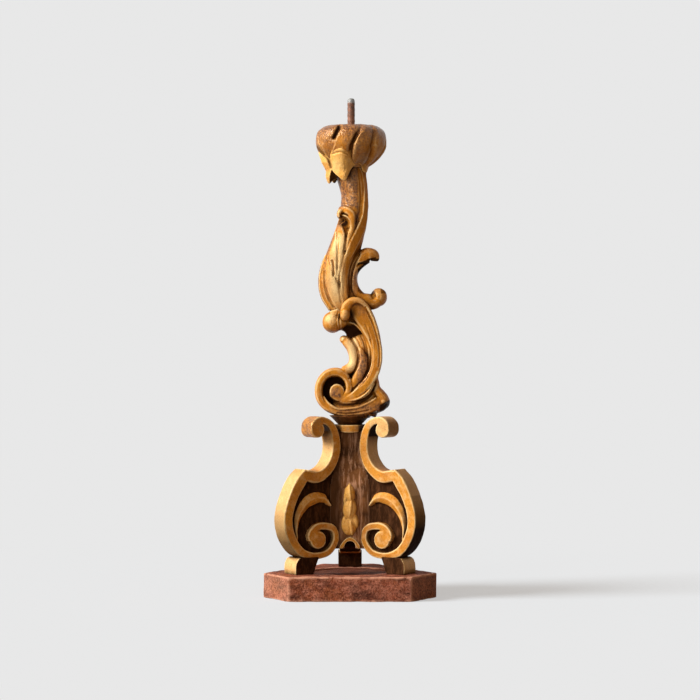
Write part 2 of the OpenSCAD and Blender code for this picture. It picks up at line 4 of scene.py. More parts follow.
import bpy
import numpy as np
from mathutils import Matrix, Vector


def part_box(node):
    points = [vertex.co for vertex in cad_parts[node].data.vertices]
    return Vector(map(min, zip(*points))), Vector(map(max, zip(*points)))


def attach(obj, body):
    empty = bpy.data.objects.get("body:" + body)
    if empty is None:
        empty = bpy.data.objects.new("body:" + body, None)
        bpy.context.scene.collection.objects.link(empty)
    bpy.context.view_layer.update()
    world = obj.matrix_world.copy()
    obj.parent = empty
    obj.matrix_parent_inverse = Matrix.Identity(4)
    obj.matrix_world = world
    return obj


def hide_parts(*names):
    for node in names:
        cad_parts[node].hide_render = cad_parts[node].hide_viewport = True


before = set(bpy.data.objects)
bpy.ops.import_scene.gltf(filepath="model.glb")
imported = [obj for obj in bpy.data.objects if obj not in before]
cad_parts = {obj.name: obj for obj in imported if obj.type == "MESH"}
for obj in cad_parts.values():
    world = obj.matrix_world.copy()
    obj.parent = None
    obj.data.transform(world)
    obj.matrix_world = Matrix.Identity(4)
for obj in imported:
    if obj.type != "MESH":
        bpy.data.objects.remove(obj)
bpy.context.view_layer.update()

mm = 0.001
ringCount = 28  # points around a strand or a lump


def levelOf(node):  # where a CAD piece stands, in millimetres
    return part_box(node)[0][2] / mm


def heading(degrees):  # the way an angle points, seen from above
    return np.array([math.cos(math.radians(degrees)), math.sin(math.radians(degrees))])


def along(values, angle):  # how far points lie, or normals face, in the way of an angle
    return values[:, :2] @ heading(angle)


def rise(value, start=0.0, span=1.0):  # 0 at start and 1 at start + span
    return np.clip((value - start) / span, 0, 1)


# Shapes are in millimetres up to where carved makes a mesh of them.
def splineThrough(points, steps=6):  # a smooth curve through points of any number of values
    p = np.array(points, float)
    p = np.vstack([2 * p[0] - p[1], p, 2 * p[-1] - p[-2]])
    t = (np.arange(steps) / steps)[:, None]
    rows = [
        0.5 * (2 * b + (c - a) * t + (2 * a - 5 * b + 4 * c - d) * t ** 2
               + (3 * b - a - 3 * c + d) * t ** 3)
        for a, b, c, d in zip(p, p[1:], p[2:], p[3:])
    ]
    return np.vstack(rows + [p[-2:-1]])


def spot(x, z, at, size, power=2):  # 1 in the middle of a patch, and less and less around it
    return np.exp(-(((x - at[0]) / size[0]) ** power + ((z - at[1]) / size[1]) ** power))


def nearLine(x, z, line, width):  # 1 on a curve, and less and less beside it
    line = splineThrough(line, 4)
    best = np.full(len(x), 1e9)
    for (ax, az), (bx, bz) in zip(line, line[1:]):
        dx, dz = bx - ax, bz - az
        t = np.clip(((x - ax) * dx + (z - az) * dz) / max(dx * dx + dz * dz, 1e-9), 0, 1)
        best = np.minimum(best, np.hypot(x - ax - t * dx, z - az - t * dz))
    return np.exp(-(best / width) ** 2)


def onLines(x, z, rows):  # rows of share, line, width
    return sum(share * nearLine(x, z, line, width) for share, line, width in rows)


def ringShape(kind):  # across the strand from -1 to 1, and in or out from -1 to 1
    a = 2 * np.pi * np.arange(ringCount) / ringCount
    s, f = np.cos(a), np.sin(a)
    power = {"crisp": 0.2, "flat": 0.45, "soft": 0.7}.get(kind, 1)
    s, f = np.sign(s) * np.abs(s) ** power, np.sign(f) * np.abs(f) ** power
    if kind == "roof":  # crisp sides and a ridge along the middle
        f = np.sign(f) * np.abs(f) ** 0.35 * (1 - 0.28 * np.abs(s) ** 1.3)
    return s, f


def closedTube(rings):  # joins rings of points into one closed solid
    count, around = rings.shape[:2]
    points = np.vstack([rings.reshape(-1, 3), rings[0].mean(0)[None], rings[-1].mean(0)[None]])
    a = np.arange(count * around).reshape(count, around)
    b = np.roll(a, -1, 1)
    walls = np.stack([a[:-1], b[:-1], b[1:], a[1:]], 2).reshape(-1, 4).tolist()
    first, last = count * around, count * around + 1
    ends = [[first, y, x] for x, y in zip(a[0], b[0])]
    ends += [[last, x, y] for x, y in zip(a[-1], b[-1])]
    return points, walls + ends


def band(points, kind):  # x, z, width, depth and y: lies in the plane of the stem
    rows = [list(p) + [0] * (5 - len(p)) for p in points]
    x, z, width, depth, y = splineThrough(rows).T
    width, depth = np.maximum(width, 0.4), np.maximum(depth, 0.4)
    way = np.stack([np.gradient(x), np.gradient(z)])
    way /= np.linalg.norm(way, axis=0)
    s, f = ringShape(kind)
    half = s[None] * width[:, None] / 2
    return closedTube(np.stack([
        x[:, None] + way[1][:, None] * half,
        y[:, None] + f[None] * depth[:, None] / 2,
        z[:, None] - way[0][:, None] * half,
    ], 2))


def strand(points, surface, kind, sink=4.0):  # x, z, width and height, laid on a surface
    x, z, width, height = splineThrough(points).T
    width, height = np.maximum(width, 0.4), np.maximum(height, 0.2)
    place, out = surface(x, z)
    way = np.gradient(place, axis=0)
    way /= np.linalg.norm(way, axis=1)[:, None]
    out = out - way * (out * way).sum(1)[:, None]
    out /= np.linalg.norm(out, axis=1)[:, None]
    side = np.cross(way, out)
    s, f = ringShape(kind)
    lift = np.where(f > 0, f * height[:, None], f * sink)
    return closedTube(
        place[:, None]
        + side[:, None] * (s[None] * width[:, None] / 2)[..., None]
        + out[:, None] * lift[..., None]
    )


def blob(centre, radii, power, lean=0):  # a rounded lump that leans in the plane of the stem
    u = np.linspace(-np.pi / 2, np.pi / 2, 17)[1:-1]
    v = 2 * np.pi * np.arange(ringCount) / ringCount
    rings = np.stack([
        np.cos(u)[:, None] ** power * np.cos(v)[None] * radii[0],
        np.sin(u)[:, None] * np.ones(ringCount)[None] * radii[1],
        np.cos(u)[:, None] ** power * np.sin(v)[None] * radii[2],
    ], 2)
    c, s = heading(lean)
    rings = rings @ np.array([[c, 0, s], [0, 1, 0], [-s, 0, c]])
    return closedTube(rings + np.array(centre))


def slab(outline, thick):  # a flat outline of x, z stood up as a board
    p = np.array(outline, float)
    n = len(p)
    front = np.stack([p[:, 0], np.full(n, -thick / 2), p[:, 1]], 1)
    back = front + [0, thick, 0]
    walls = [[i, (i + 1) % n, n + (i + 1) % n, n + i] for i in range(n)]
    return np.vstack([front, back]), walls + [list(range(n))[::-1], list(range(n, 2 * n))]


def disc(x, z, r, thick, dome=0.0):  # a round plate that faces the front and the back
    half = thick / 2
    rings = [(0.0, half + dome), (0.55, half + 0.75 * dome), (0.93, half), (1, half - 1)]
    rings = rings + [(q, -h) for q, h in rings[::-1]]
    a = 2 * np.pi * np.arange(40) / 40
    return closedTube(np.array([
        np.stack([x + q * r * np.cos(a), np.full(40, -h), z + q * r * np.sin(a)], 1)
        for q, h in ((max(q, 0.02), h) for q, h in rings)
    ]))


def circle(x, r, turns, z):  # a level ring of points about the upright axis at x
    return np.stack([x + r * turns[0], r * turns[1], z + 0 * turns[0]], 1)


def latheAt(x, rows, around=64):  # rows of radius, height turned about the upright axis at x
    a = 2 * np.pi * np.arange(around) / around
    return closedTube(np.array([circle(x, r, (np.cos(a), np.sin(a)), z) for r, z in rows]))


def bothSides(parts):  # the same parts on the front and on the back
    return parts + [(points * [1, -1, 1], faces) for points, faces in parts]


def turned(part, degrees):  # a part turned about the stand's upright axis
    points, faces = part
    c, s = heading(degrees)
    x, y, z = points.T
    return np.stack([c * x - s * y, s * x + c * y, z], 1), faces


def raised(rows, up):  # rows of x, height and more, moved up
    return [(r[0], r[1] + up, *r[2:]) for r in rows]


def raisedLines(grooves, up):
    return [(raised(line, up), *rest) for line, *rest in grooves]


def valuesOf(items, key, width, kind=float):  # a row of values for each vertex, edge or normal
    values = np.empty(len(items) * width, kind)
    items.foreach_get(key, values)
    return values.reshape(-1, width)


def surfaceOf(mesh):  # where each point lies, and the way the surface faces there
    return valuesOf(mesh.vertices, "co", 3) / mm, valuesOf(mesh.vertex_normals, "vector", 3)


def nodePart(name):  # a CAD piece as a part that can be carved further
    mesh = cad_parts[name].data
    return valuesOf(mesh.vertices, "co", 3) / mm, [list(p.vertices) for p in mesh.polygons]


def neighbours(mesh):
    pairs = valuesOf(mesh.edges, "vertices", 2, int)
    a = np.concatenate([pairs[:, 0], pairs[:, 1]])
    b = np.concatenate([pairs[:, 1], pairs[:, 0]])
    return a, b, np.maximum(np.bincount(a, minlength=len(mesh.vertices)), 1)


def softened(values, links, rounds):
    a, b, count = links
    for _ in range(rounds):
        spread = np.stack([np.bincount(a, v[b], len(v)) for v in values.T], 1)
        values = 0.5 * values + 0.5 * spread / count[:, None]
    return values


def mark(mesh, name, values):
    layer = mesh.attributes.new(name, "FLOAT", "POINT")
    layer.data.foreach_set("value", np.ascontiguousarray(values, dtype=np.float32))


carving = {
    "facing": 1.6,  # higher cuts grooves deeper where the surface turns away
    "near": 8, "far": 40,  # rounds of smoothing that edges and hollows are measured from
    "edge": 0.22,  # how far out of the smoothed surface an edge stands, in voxels
}


# Melts parts into one piece and carves it. gilt, the stain marks and the wear marks are numbers or
# functions; the stain marks are painted shade, and the wear marks hold wear, painted shade and
# painted highlights.
def carved(name, parts, node, material, voxel=0.8, soft=3, wobble=0.25,
           wobbleSize=9, grooves=(), gilt=1.0, paintedShade=0.0, wearAndLight=0.0):
    points = np.vstack([p for p, _ in parts])
    faces, start = [], 0
    for p, f in parts:
        faces += [[start + i for i in face] for face in f]
        start += len(p)
    mesh = bpy.data.meshes.new(name)
    mesh.from_pydata((points * mm).tolist(), [], faces)
    piece = bpy.data.objects.new(name, mesh)
    bpy.context.scene.collection.objects.link(piece)
    melt = piece.modifiers.new("melt", "REMESH")
    melt.mode, melt.voxel_size, melt.adaptivity = "VOXEL", voxel * mm, 0
    sand = piece.modifiers.new("sand", "SMOOTH")
    sand.factor, sand.iterations = 0.5, soft
    marks = bpy.data.textures.new(name + "Marks", "CLOUDS")
    marks.noise_scale, marks.noise_depth = wobbleSize * mm, 1
    tool = piece.modifiers.new("toolMarks", "DISPLACE")
    tool.texture, tool.texture_coords = marks, "LOCAL"
    tool.strength, tool.mid_level = 2 * wobble * mm, 0.5
    graph = bpy.context.evaluated_depsgraph_get()
    done = bpy.data.meshes.new_from_object(piece.evaluated_get(graph))
    piece.modifiers.clear()
    piece.data = done
    if grooves:
        co, out = surfaceOf(done)
        for line, depth, width, *side in grooves:  # on both faces, or on the front alone
            facing = -out[:, 1] if side else np.abs(out[:, 1])
            push = depth * nearLine(co[:, 0], co[:, 2], line, width)
            push = push * rise(facing * carving["facing"])
            co = co - out * push[:, None]
        done.vertices.foreach_set("co", (co * mm).ravel())
        done.update()
    co, out = surfaceOf(done)
    links = neighbours(done)
    near = softened(co, links, carving["near"])
    far = softened(near, links, carving["far"])
    mark(done, "edge", ((co - near) * out).sum(1) / (carving["edge"] * voxel))
    mark(done, "hollow", -((co - far) * out).sum(1))
    for layer, share in (("gilt", gilt), ("paintedShade", paintedShade), ("wearAndLight", wearAndLight)):
        mark(done, layer, share(co, out) if callable(share) else np.full(len(co), share))
    done.polygons.foreach_set("use_smooth", np.ones(len(done.polygons), bool))
    done.materials.clear()
    done.materials.append(material)
    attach(piece, "root")
    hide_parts(node)


def wired(item, inputs):  # links the sockets among the inputs and sets the plain values
    for key, value in inputs.items():
        if isinstance(value, bpy.types.NodeSocket):
            item.id_data.links.new(value, item.inputs[key])
        else:
            item.inputs[key].default_value = value
    return item


def addNode(tree, kind, inputs=None, **settings):  # a node's outputs
    item = tree.nodes.new("ShaderNode" + kind)
    for key, value in settings.items():
        setattr(item, key, value)
    return wired(item, inputs or {}).outputs


def rgb(colour):
    return (*colour, 1)


def mixed(share, a, b):  # colours a and b mixed by share
    a, b = (c if isinstance(c, bpy.types.NodeSocket) else rgb(c) for c in (a, b))
    return addNode(share.id_data, "Mix", {0: share, 6: a, 7: b}, data_type="RGBA")[2]


def layered(look, first, layers):  # colours laid over the first one, each by its share
    colour = look[first]
    for share, over in layers:
        colour = mixed(share, colour, look[over] if isinstance(over, str) else over)
    return colour


def ramp(value, low, high, start=0.0, end=1.0):
    inputs = {"Value": value, "From Min": low, "From Max": high, "To Min": start, "To Max": end}
    return addNode(value.id_data, "MapRange", inputs)[0]


def maths(how, a, b, clamp=False):
    return addNode(a.id_data, "Math", {0: a, 1: b}, operation=how, use_clamp=clamp)[0]


def times(a, b):
    return maths("MULTIPLY", a, b)


def plus(a, b):
    return maths("ADD", a, b)


def noise(place, scale, detail, rough=0.55, upright=1):  # upright under 1 gives tall streaks
    tree = place.id_data
    if upright != 1:
        place = addNode(tree, "VectorMath", {0: place, 1: (1, 1, upright)}, operation="MULTIPLY")[0]
    inputs = {"Vector": place, "Scale": scale, "Detail": detail, "Roughness": rough}
    return addNode(tree, "TexNoise", inputs)["Fac"]


def shadeOf(tree, distance):
    return addNode(tree, "AmbientOcclusion", {"Distance": distance}, samples=8)["AO"]


def marksOf(tree, *names):  # what carved has marked on the mesh
    return [addNode(tree, "Attribute", attribute_name=name)["Fac"] for name in names]


def bump(height, distance, strength=1.0):
    inputs = {"Height": height, "Distance": distance, "Strength": strength}
    return addNode(height.id_data, "Bump", inputs)[0]


def newMaterial(name):
    material = bpy.data.materials.new(name)
    material.use_nodes = True
    tree = material.node_tree
    return material, tree, addNode(tree, "TexCoord")["Object"]


def finished(material, inputs):  # fills in the inputs of the material's shader
    wired(material.node_tree.nodes["Principled BSDF"], inputs)
    return material


goldLook = {
    "leaf": (0.60, 0.245, 0.030),  # the gold itself
    "pale": (0.80, 0.57, 0.27),  # where it is thickest and cleanest; also painted highlights along raised edges and where the wear marks put them
    "warm": (0.42, 0.135, 0.018),  # where the red clay shows through
    "rubbedAndShaded": (0.30, 0.11, 0.026),  # where hands have rubbed it down to brown, and painted shade on down-facing places and in gaps
    "bole": (0.10, 0.030, 0.012),  # bare clay
    "patinaAndShade": (0.020, 0.007, 0.003),  # dirt in the hollows, and painted shade in corners and creases
    "ground": (0.030, 0.012, 0.005),  # the dark field of the boards
    "groundLight": (0.12, 0.048, 0.020),
    "shine": (1.0, 0.66, 0.30),
    "gloss": (1.0, 0.70, 0.42),  # how the rubbed places shine
    "metal": 0.05, "rough": 0.34,
}


def goldLeaf(name, brown=0.0, fair=0.0, coarse=1.0, blotch=190, speck=0.5, look=goldLook):
    material, tree, place = newMaterial(name)
    edge, hollow, gilt, paintedShade, wearAndLight = marksOf(tree, "edge", "hollow", "gilt", "paintedShade", "wearAndLight")
    cloud = noise(place, 38, 3)
    patch = noise(place, 120, 6, 0.65)
    fine = noise(place, 700, 4, 0.7)
    mottle = noise(place, blotch, 4, 0.65)
    grain = noise(place, 420, 3, upright=0.18)
    streaks = noise(place, 200, 5, 0.7, upright=0.35)
    shade = shadeOf(tree, 0.012)
    specks = times(ramp(fine, 0.51, 0.64), ramp(patch, 0.3, 0.62, speck, 0.2))
    loss = plus(wearAndLight, ramp(patch, 0, 1, -0.45, 0.45))
    rubbedAndShaded = times(ramp(loss, 0.25, 0.75), ramp(wearAndLight, 0, 0.2))
    brownish = layered(look, "rubbedAndShaded", [
        (ramp(mottle, 0.48, 0.56), "bole"), (ramp(mottle, 0.45, 0.36, 0, 0.55), "leaf"),
        (ramp(edge, 0.3, 1.4, 0, 0.6), "leaf"),
    ])
    # dirt in concave hollows, and painted shade where the AO node finds occlusion; the stain marks
    # add more painted shade
    deep = maths("MAXIMUM", maths("MULTIPLY", hollow, 0.62, True), ramp(shade, 0.90, 0.42))
    darkening = maths("MAXIMUM", times(deep, ramp(patch, 0.2, 0.6, 1.0, 0.85)), paintedShade)
    # pale where the wear marks go below 0: paler gilding on the feet and a hook, and painted
    # highlights on the boards' walls, the stems and the collar; pale along raised edges is partly
    # wear, partly painted highlight
    gold = layered(look, "leaf", [
        (ramp(patch, 0.48 - fair, 0.80 - fair, 0, 0.75), "pale"),
        (ramp(cloud, 0.42 - 0.2 * brown, 0.75 - 0.3 * brown, 0, 0.85), "warm"),
        (ramp(wearAndLight, 0, -1, 0, 0.85), "pale"), (specks, "bole"),
        (ramp(edge, 0.28, 1.2, 0, 0.8), "pale"), (rubbedAndShaded, brownish), (darkening, "patinaAndShade"),
    ])
    # the AO node darkens the field: painted shade
    ground = layered(look, "ground", [
        (ramp(streaks, 0.45, 0.8), "groundLight"), (ramp(shade, 0.65, 0.2, 0, 0.8), "patinaAndShade"),
    ])
    gilded = ramp(plus(gilt, times(patch, 0.5)), 0.66, 0.8)
    clean = times(gilded, ramp(darkening, 0.1, 0.7, 1, 0.1))
    dull = ramp(patch, 0.3, 0.75, look["rough"], look["rough"] + 0.2)
    dull = plus(plus(dull, ramp(darkening, 0, 1, 0, 0.2)), ramp(gilded, 0, 1, 0.25, 0))
    height = plus(plus(times(fine, 0.5), times(grain, 0.8)), patch)
    return finished(material, {
        "Base Color": mixed(gilded, ground, gold),
        "Metallic": times(clean, look["metal"]),
        "Specular IOR Level": times(clean, ramp(rubbedAndShaded, 0, 1, 0.15, 0.85)),
        "Specular Tint": mixed(rubbedAndShaded, look["shine"], look["gloss"]),
        "Roughness": maths("SUBTRACT", dull, ramp(rubbedAndShaded, 0, 1, 0, 0.27)),
        "Normal": bump(height, 0.0006 * coarse, 0.6),
    })


groundLook = {
    # deep is also painted as shade in corners and where the stain marks are
    "deep": (0.022, 0.008, 0.003),
    "brown": (0.14, 0.050, 0.014),
    "red": (0.34, 0.135, 0.045),
    "shine": (0.60, 0.31, 0.07),
    "streaks": (0.53, 0.72),  # the first number lower gives more red streaks
}
panelLook = {
    **groundLook, "deep": (0.050, 0.019, 0.008), "brown": (0.29, 0.118, 0.042),
    "red": (0.66, 0.36, 0.21), "streaks": (0.47, 0.60),
}


def stainedWood(name, look=groundLook):
    material, tree, place = newMaterial(name)
    edge, paintedShade = marksOf(tree, "edge", "paintedShade")
    streaks = noise(place, 260, 6, 0.7, upright=0.10)
    fine = noise(place, 900, 3, upright=0.25)
    # the AO ramp to deep and the stain marks are painted shade
    colour = layered(look, "deep", [
        (ramp(noise(place, 45, 4), 0.35, 0.65), "brown"),
        (ramp(streaks, *look["streaks"], 0, 0.8), "red"), (ramp(edge, 0.3, 1.5, 0, 0.5), "red"),
        (ramp(shadeOf(tree, 0.016), 0.5, 0.12, 0, 0.8), "deep"), (paintedShade, "deep"),
    ])
    return finished(material, {
        "Base Color": colour, "Specular IOR Level": 0.15, "Specular Tint": rgb(look["shine"]),
        "Roughness": ramp(streaks, 0.3, 0.7, 0.45, 0.7),
        "Normal": bump(plus(streaks, times(fine, 0.4)), 0.0012, 0.6),
    })


paintLook = {
    "red": (0.30, 0.082, 0.042),
    "rose": (0.52, 0.200, 0.125),
    "orange": (0.34, 0.095, 0.030),
    "dark": (0.030, 0.010, 0.007),
    "chalk": (0.62, 0.30, 0.19),
}


def porphyryPaint(name, look=paintLook):
    material, tree, place = newMaterial(name)
    edge, paintedShade, corner = marksOf(tree, "edge", "paintedShade", "wearAndLight")
    cloud = noise(place, 30, 6, 0.66)
    patch = noise(place, 110, 6, 0.72)
    fine = noise(place, 430, 5, 0.75)
    drift = noise(place, 34, 5, 0.65, upright=2.4)
    chipped = times(ramp(edge, 0.15, 1.0), ramp(patch, 0.34, 0.52))
    # the stain marks darken the recess as a painted shadow
    colour = layered(look, "red", [
        (ramp(patch, 0.40, 0.66), "rose"), (ramp(cloud, 0.52, 0.36, 0, 0.7), "orange"),
        (ramp(drift, 0.46, 0.66, 0, 0.75), "dark"), (ramp(corner, 0, 1, 0, 0.32), "chalk"),
        (ramp(fine, 0.48, 0.58, 0, 0.65), "dark"), (ramp(fine, 0.42, 0.30, 0, 0.6), "chalk"),
        (chipped, "chalk"), (times(paintedShade, 0.8), "dark"),
    ])
    return finished(material, {
        "Base Color": colour, "Specular IOR Level": 0.08, "Specular Tint": rgb(look["chalk"]),
        "Roughness": ramp(patch, 0.3, 0.7, 0.55, 0.8),
        "Normal": bump(plus(patch, times(fine, 0.8)), 0.0022),
    })


ironLook = {
    "rust": (0.24, 0.088, 0.040),
    "dark": (0.05, 0.028, 0.02),
    "flake": (0.28, 0.12, 0.05),
    "grey": (0.24, 0.235, 0.22),
    "tipHeight": 0.6405,  # above this the metal is worn bright
}


def rustyIron(name, look=ironLook):
    material, tree, place = newMaterial(name)
    patch, fine = noise(place, 160, 6, 0.7), noise(place, 1400, 3, 0.7)
    height = plus(addNode(tree, "SeparateXYZ", {0: place})["Z"], times(patch, 0.003))
    tip = ramp(height, look["tipHeight"], look["tipHeight"] + 0.002)
    colour = layered(look, "rust", [
        (ramp(patch, 0.4, 0.65), "dark"), (ramp(fine, 0.55, 0.7, 0, 0.6), "flake"), (tip, "grey"),
    ])
    return finished(material, {
        "Base Color": colour, "Metallic": ramp(tip, 0, 1, 0.15, 0.6),
        "Roughness": ramp(patch, 0.3, 0.7, 0.45, 0.7),
        "Normal": bump(plus(patch, times(fine, 0.4)), 0.0008, 0.7),
    })


dowelLook = {"light": (0.56, 0.38, 0.20), "dark": (0.38, 0.22, 0.10)}


def turnedWood(name, look=dowelLook):
    material, _, place = newMaterial(name)
    grain = noise(place, 500, 4, 0.6, upright=0.1)
    return finished(material, {
        "Base Color": mixed(ramp(grain, 0.35, 0.7), look["light"], look["dark"]),
        "Roughness": ramp(grain, 0.3, 0.7, 0.55, 0.75), "Normal": bump(grain, 0.0004),
    })


stemLook = {
    **goldLook, "leaf": (0.59, 0.228, 0.022), "warm": (0.42, 0.125, 0.014),
    "shine": (1.0, 0.58, 0.20),
}
sprayLook = {
    **goldLook, "leaf": (0.72, 0.33, 0.052), "pale": (0.92, 0.57, 0.20),
    "warm": (0.52, 0.19, 0.03),
}
stemGold = goldLeaf("stemGold", fair=-0.06, coarse=1.5, blotch=290, look=stemLook)
boardGold = goldLeaf("boardGold", brown=0.08, coarse=1.8, speck=0.7)
sprayGold = goldLeaf("sprayGold", brown=-0.2, fair=0.14, coarse=1.6, speck=0.3, look=sprayLook)
cupGold = goldLeaf("cupGold", brown=0.2, coarse=2.4, blotch=400, speck=1.0)
darkWood = stainedWood("darkWood")
panelWood = stainedWood("panelWood", panelLook)
plinthPaint = porphyryPaint("plinthPaint")
iron = rustyIron("rustyIron")
bareWood = turnedWood("bareWood")
print("materials are ready")

# the last entry is how dark the painted shadow in the recess is
plinth = {"height": 31.5, "recess": 54.0, "recessLevels": (27.5, 31.0), "darkening": 0.8}
foot = {"height": 19.0, "giltFrom": 72.0, "angles": {"left": 210, "right": 330, "back": 90}}


def cornerWear(co, out):  # the paint is worn thin on the three clipped corners
    facing = np.max([along(out, angle) for angle in foot["angles"].values()], 0)
    return rise(facing, 0.8, 0.12) * np.maximum(rise(co[:, 2], -4, 14), 0.3)


def recessShadow(co, out):  # painted shadow of the body in the round recess of the plinth's top
    low, high = plinth["recessLevels"]
    inside = np.hypot(co[:, 0], co[:, 1]) < plinth["recess"]
    return np.where(inside & (co[:, 2] > low) & (co[:, 2] < high), plinth["darkening"], 0)


def footGilt(angle, co, out):  # only the rounded outer end of a foot is gilded
    return rise(along(out, angle) * 3 - 0.5) * (along(co, angle) > foot["giltFrom"])


carved("plinthBlock", [nodePart("plinth")], "plinth", plinthPaint, voxel=1.1,
       soft=7, wobble=0.9, wobbleSize=20, paintedShade=recessShadow, wearAndLight=cornerWear)
for side, angle in foot["angles"].items():
    carved(side + "Foot", [nodePart("foot_" + side)], "foot_" + side, boardGold,
           voxel=0.7, soft=5, wobble=0.3, gilt=partial(footGilt, angle), wearAndLight=-0.55)
print("plinth and feet are in place")

board = {  # the shapes are rows of share of the reach, share of the height and band widths
    "reach": 105.0, "height": 182.5, "band": 13.0,  # as in the part's source
    "thick": 28.0, "field": 14.0, "frond": 25.0,
    "hook": 10.0, "hookAt": (0.528, 0.908), "eye": 11.5, "eyeAt": (0.52, 0.134),
    "shadedWall": {"left": 0.0, "right": 0.45, "back": 0.25},  # how much painted shade lies on each board's outer wall
    "hookRub": {"left": 0.34, "right": -0.5, "back": 0.3},
    "neckBand": [
        (0.585, 0.905, 0.62), (0.57, 0.945, 0.75), (0.51, 0.972, 0.76), (0.43, 0.972, 0.74),
        (0.345, 0.942, 0.84), (0.29, 0.885, 0.96), (0.262, 0.8, 1), (0.28, 0.72, 1),
        (0.335, 0.655, 1.02), (0.42, 0.605, 1.08), (0.53, 0.577, 1.2), (0.68, 0.59, 1.15),
    ],
    "bellyBand": [
        (0.665, 0.615, 0.9), (0.76, 0.545, 1.2), (0.86, 0.445, 1.08), (0.93, 0.32, 1.03),
        (0.928, 0.22, 1.02), (0.865, 0.125, 1), (0.76, 0.055, 0.92), (0.63, 0.026, 0.72),
        (0.49, 0.024, 0.66), (0.36, 0.05, 0.68), (0.27, 0.125, 0.7), (0.29, 0.2, 0.7),
        (0.4, 0.228, 0.72), (0.54, 0.222, 0.72), (0.62, 0.172, 0.7), (0.61, 0.13, 0.6),
    ],
    "frondLeaf": [
        (0.325, 0.37, 0.3), (0.41, 0.42, 1.15), (0.52, 0.43, 1.6), (0.635, 0.41, 1.7),
        (0.735, 0.355, 1.4), (0.795, 0.285, 1), (0.815, 0.21, 0.65), (0.8, 0.14, 0.25),
    ],
}
boardFoot = levelOf("plinth") + plinth["height"] + foot["height"]


def boardPlace(r, h):  # from shares of the reach and the height to x, z
    return r * board["reach"], boardFoot + h * board["height"]


def boardShares(co, angle):  # the way back, from points to shares
    return along(co, angle) / board["reach"], (co[:, 2] - boardFoot) / board["height"]


def boardParts():
    def strip(key, depth, kind):
        rows = [(*boardPlace(r, h), w * board["band"], depth) for r, h, w in board[key]]
        return band(rows, kind)

    belly, neck = ([row[:2] for row in board[key]] for key in ("bellyBand", "neckBand"))
    edge = [  # the field ends under the middle of the bands
        (0.134, 0.896), (0.134, 0.085), (0.25, 0.085), *belly[9:0:-1], (0.66, 0.59),
        *neck[10:5:-1], (0.27, 0.896),
    ]
    return [
        slab([boardPlace(r, h) for r, h in edge], board["field"]),
        strip("neckBand", board["thick"], "crisp"), strip("bellyBand", board["thick"], "crisp"),
        strip("frondLeaf", board["frond"], "roof"),
        *(disc(*boardPlace(*board[k + "At"]), board[k], board["thick"]) for k in ("hook", "eye")),
    ]


def boardGilt(angle, co, out):  # all but the sunken field, and the edges that face the post
    r = boardShares(co, angle)[0]
    bandGilt = rise(np.abs(along(co, angle + 90)) - 0.5 * board["field"], 1.6, 1.5)
    rim = (np.abs(along(out, angle + 90)) < 0.5) & (r > 0.3)
    inward = (along(out, angle) < -0.4) & (r < 0.42)
    return np.where(inward, 0, np.maximum(bandGilt, rim))


def boardShade(side, angle, co, out):  # painted shade in the crook under the hook, low on the outer edge, and on the outer walls
    r, h = boardShares(co, angle)
    facing = along(out, angle) * 2
    crook = rise(h, 0.77, 0.13) ** 1.5 * (h < 0.95) * (r > 0.27) * (r < 0.46) * rise(facing)
    low = rise(h, 0.42, -0.3) * (r > 0.7) * rise(facing)
    wall = rise(facing - 0.8) * rise(1.15 - 0.7 * (h > 0.45) * (h < 0.86))
    return rise(0.9 * crook + 0.8 * low + board["shadedWall"][side] * wall)


def boardWearAndLight(side, angle, co, out):  # the outer walls are painted paler as a painted highlight, and the hook's end is rubbed
    r, h = boardShares(co, angle)
    wall = rise(along(out, angle) * 2 - 0.6)
    hook = (h > 0.84) & (r > 0.36)
    return np.where(hook, board["hookRub"][side] + 0.2 * wall, 0.1 - 0.7 * wall)


for side, angle in foot["angles"].items():
    carved(side + "Board", [turned(p, angle) for p in boardParts()], "scroll_" + side,
           boardGold, soft=2, wobble=0.3, gilt=partial(boardGilt, angle),
           paintedShade=partial(boardShade, side, angle), wearAndLight=partial(boardWearAndLight, side, angle))
print("scroll boards are in place")

panel = {"turns": {"front": 0, "right": 120, "left": 240}, "darkTop": 172, "middle": 5}
spray = {  # leaves: middle x, height over the foot, radii across, out and up, lean
    "leaves": [
        (-1, 13.5, 10.2, 7, 13.5, 4), (-0.3, 35, 9.2, 7.4, 15, -3), (-0.4, 54, 7.4, 6.6, 12, 2),
        (-7, 17, 4.4, 6, 11, -8), (7, 19, 4.4, 5.4, 10, 8), (-5.5, 50, 3.2, 5.4, 9, -8),
    ],
    "ridge": [(1.5, 12, 3.6, 8.6, 12, 8), (0.6, 36, 3.6, 9.2, 14, -6), (0, 54, 3.2, 8.2, 12, 4)],
    "tip": (-0.5, 60, 3.6, 5.4, 8, 0),
}
sprayFoot = levelOf("leaf_spray_front")


def panelShade(angle, co, out):  # painted shade: darker towards the boards and under the cap at the top
    beside = (np.abs(along(co, angle) - panel["middle"]) - 11) / 11
    return np.clip(np.maximum(beside, 0.45 * rise(co[:, 2], panel["darkTop"], 25)), 0, 0.85)


def panelFace(z):  # how far forward the front panel stands at height z
    share = rise(z, boardFoot, board["height"])
    low = 1 - 0.5 * rise(share, 0.45, -0.45) ** 2
    high = (1 + np.cos(np.pi * rise(share, 0.45, 0.35))) / 2
    return -(17 + 7 * np.where(share < 0.45, low, high))


def sprayParts():
    leaves = []
    for x, up, across, out, tall, lean in spray["leaves"] + spray["ridge"] + [spray["tip"]]:
        z = sprayFoot + up
        leaves.append(blob((x, panelFace(z) + 1, z), (across, out, tall), 0.8, lean))
    return leaves


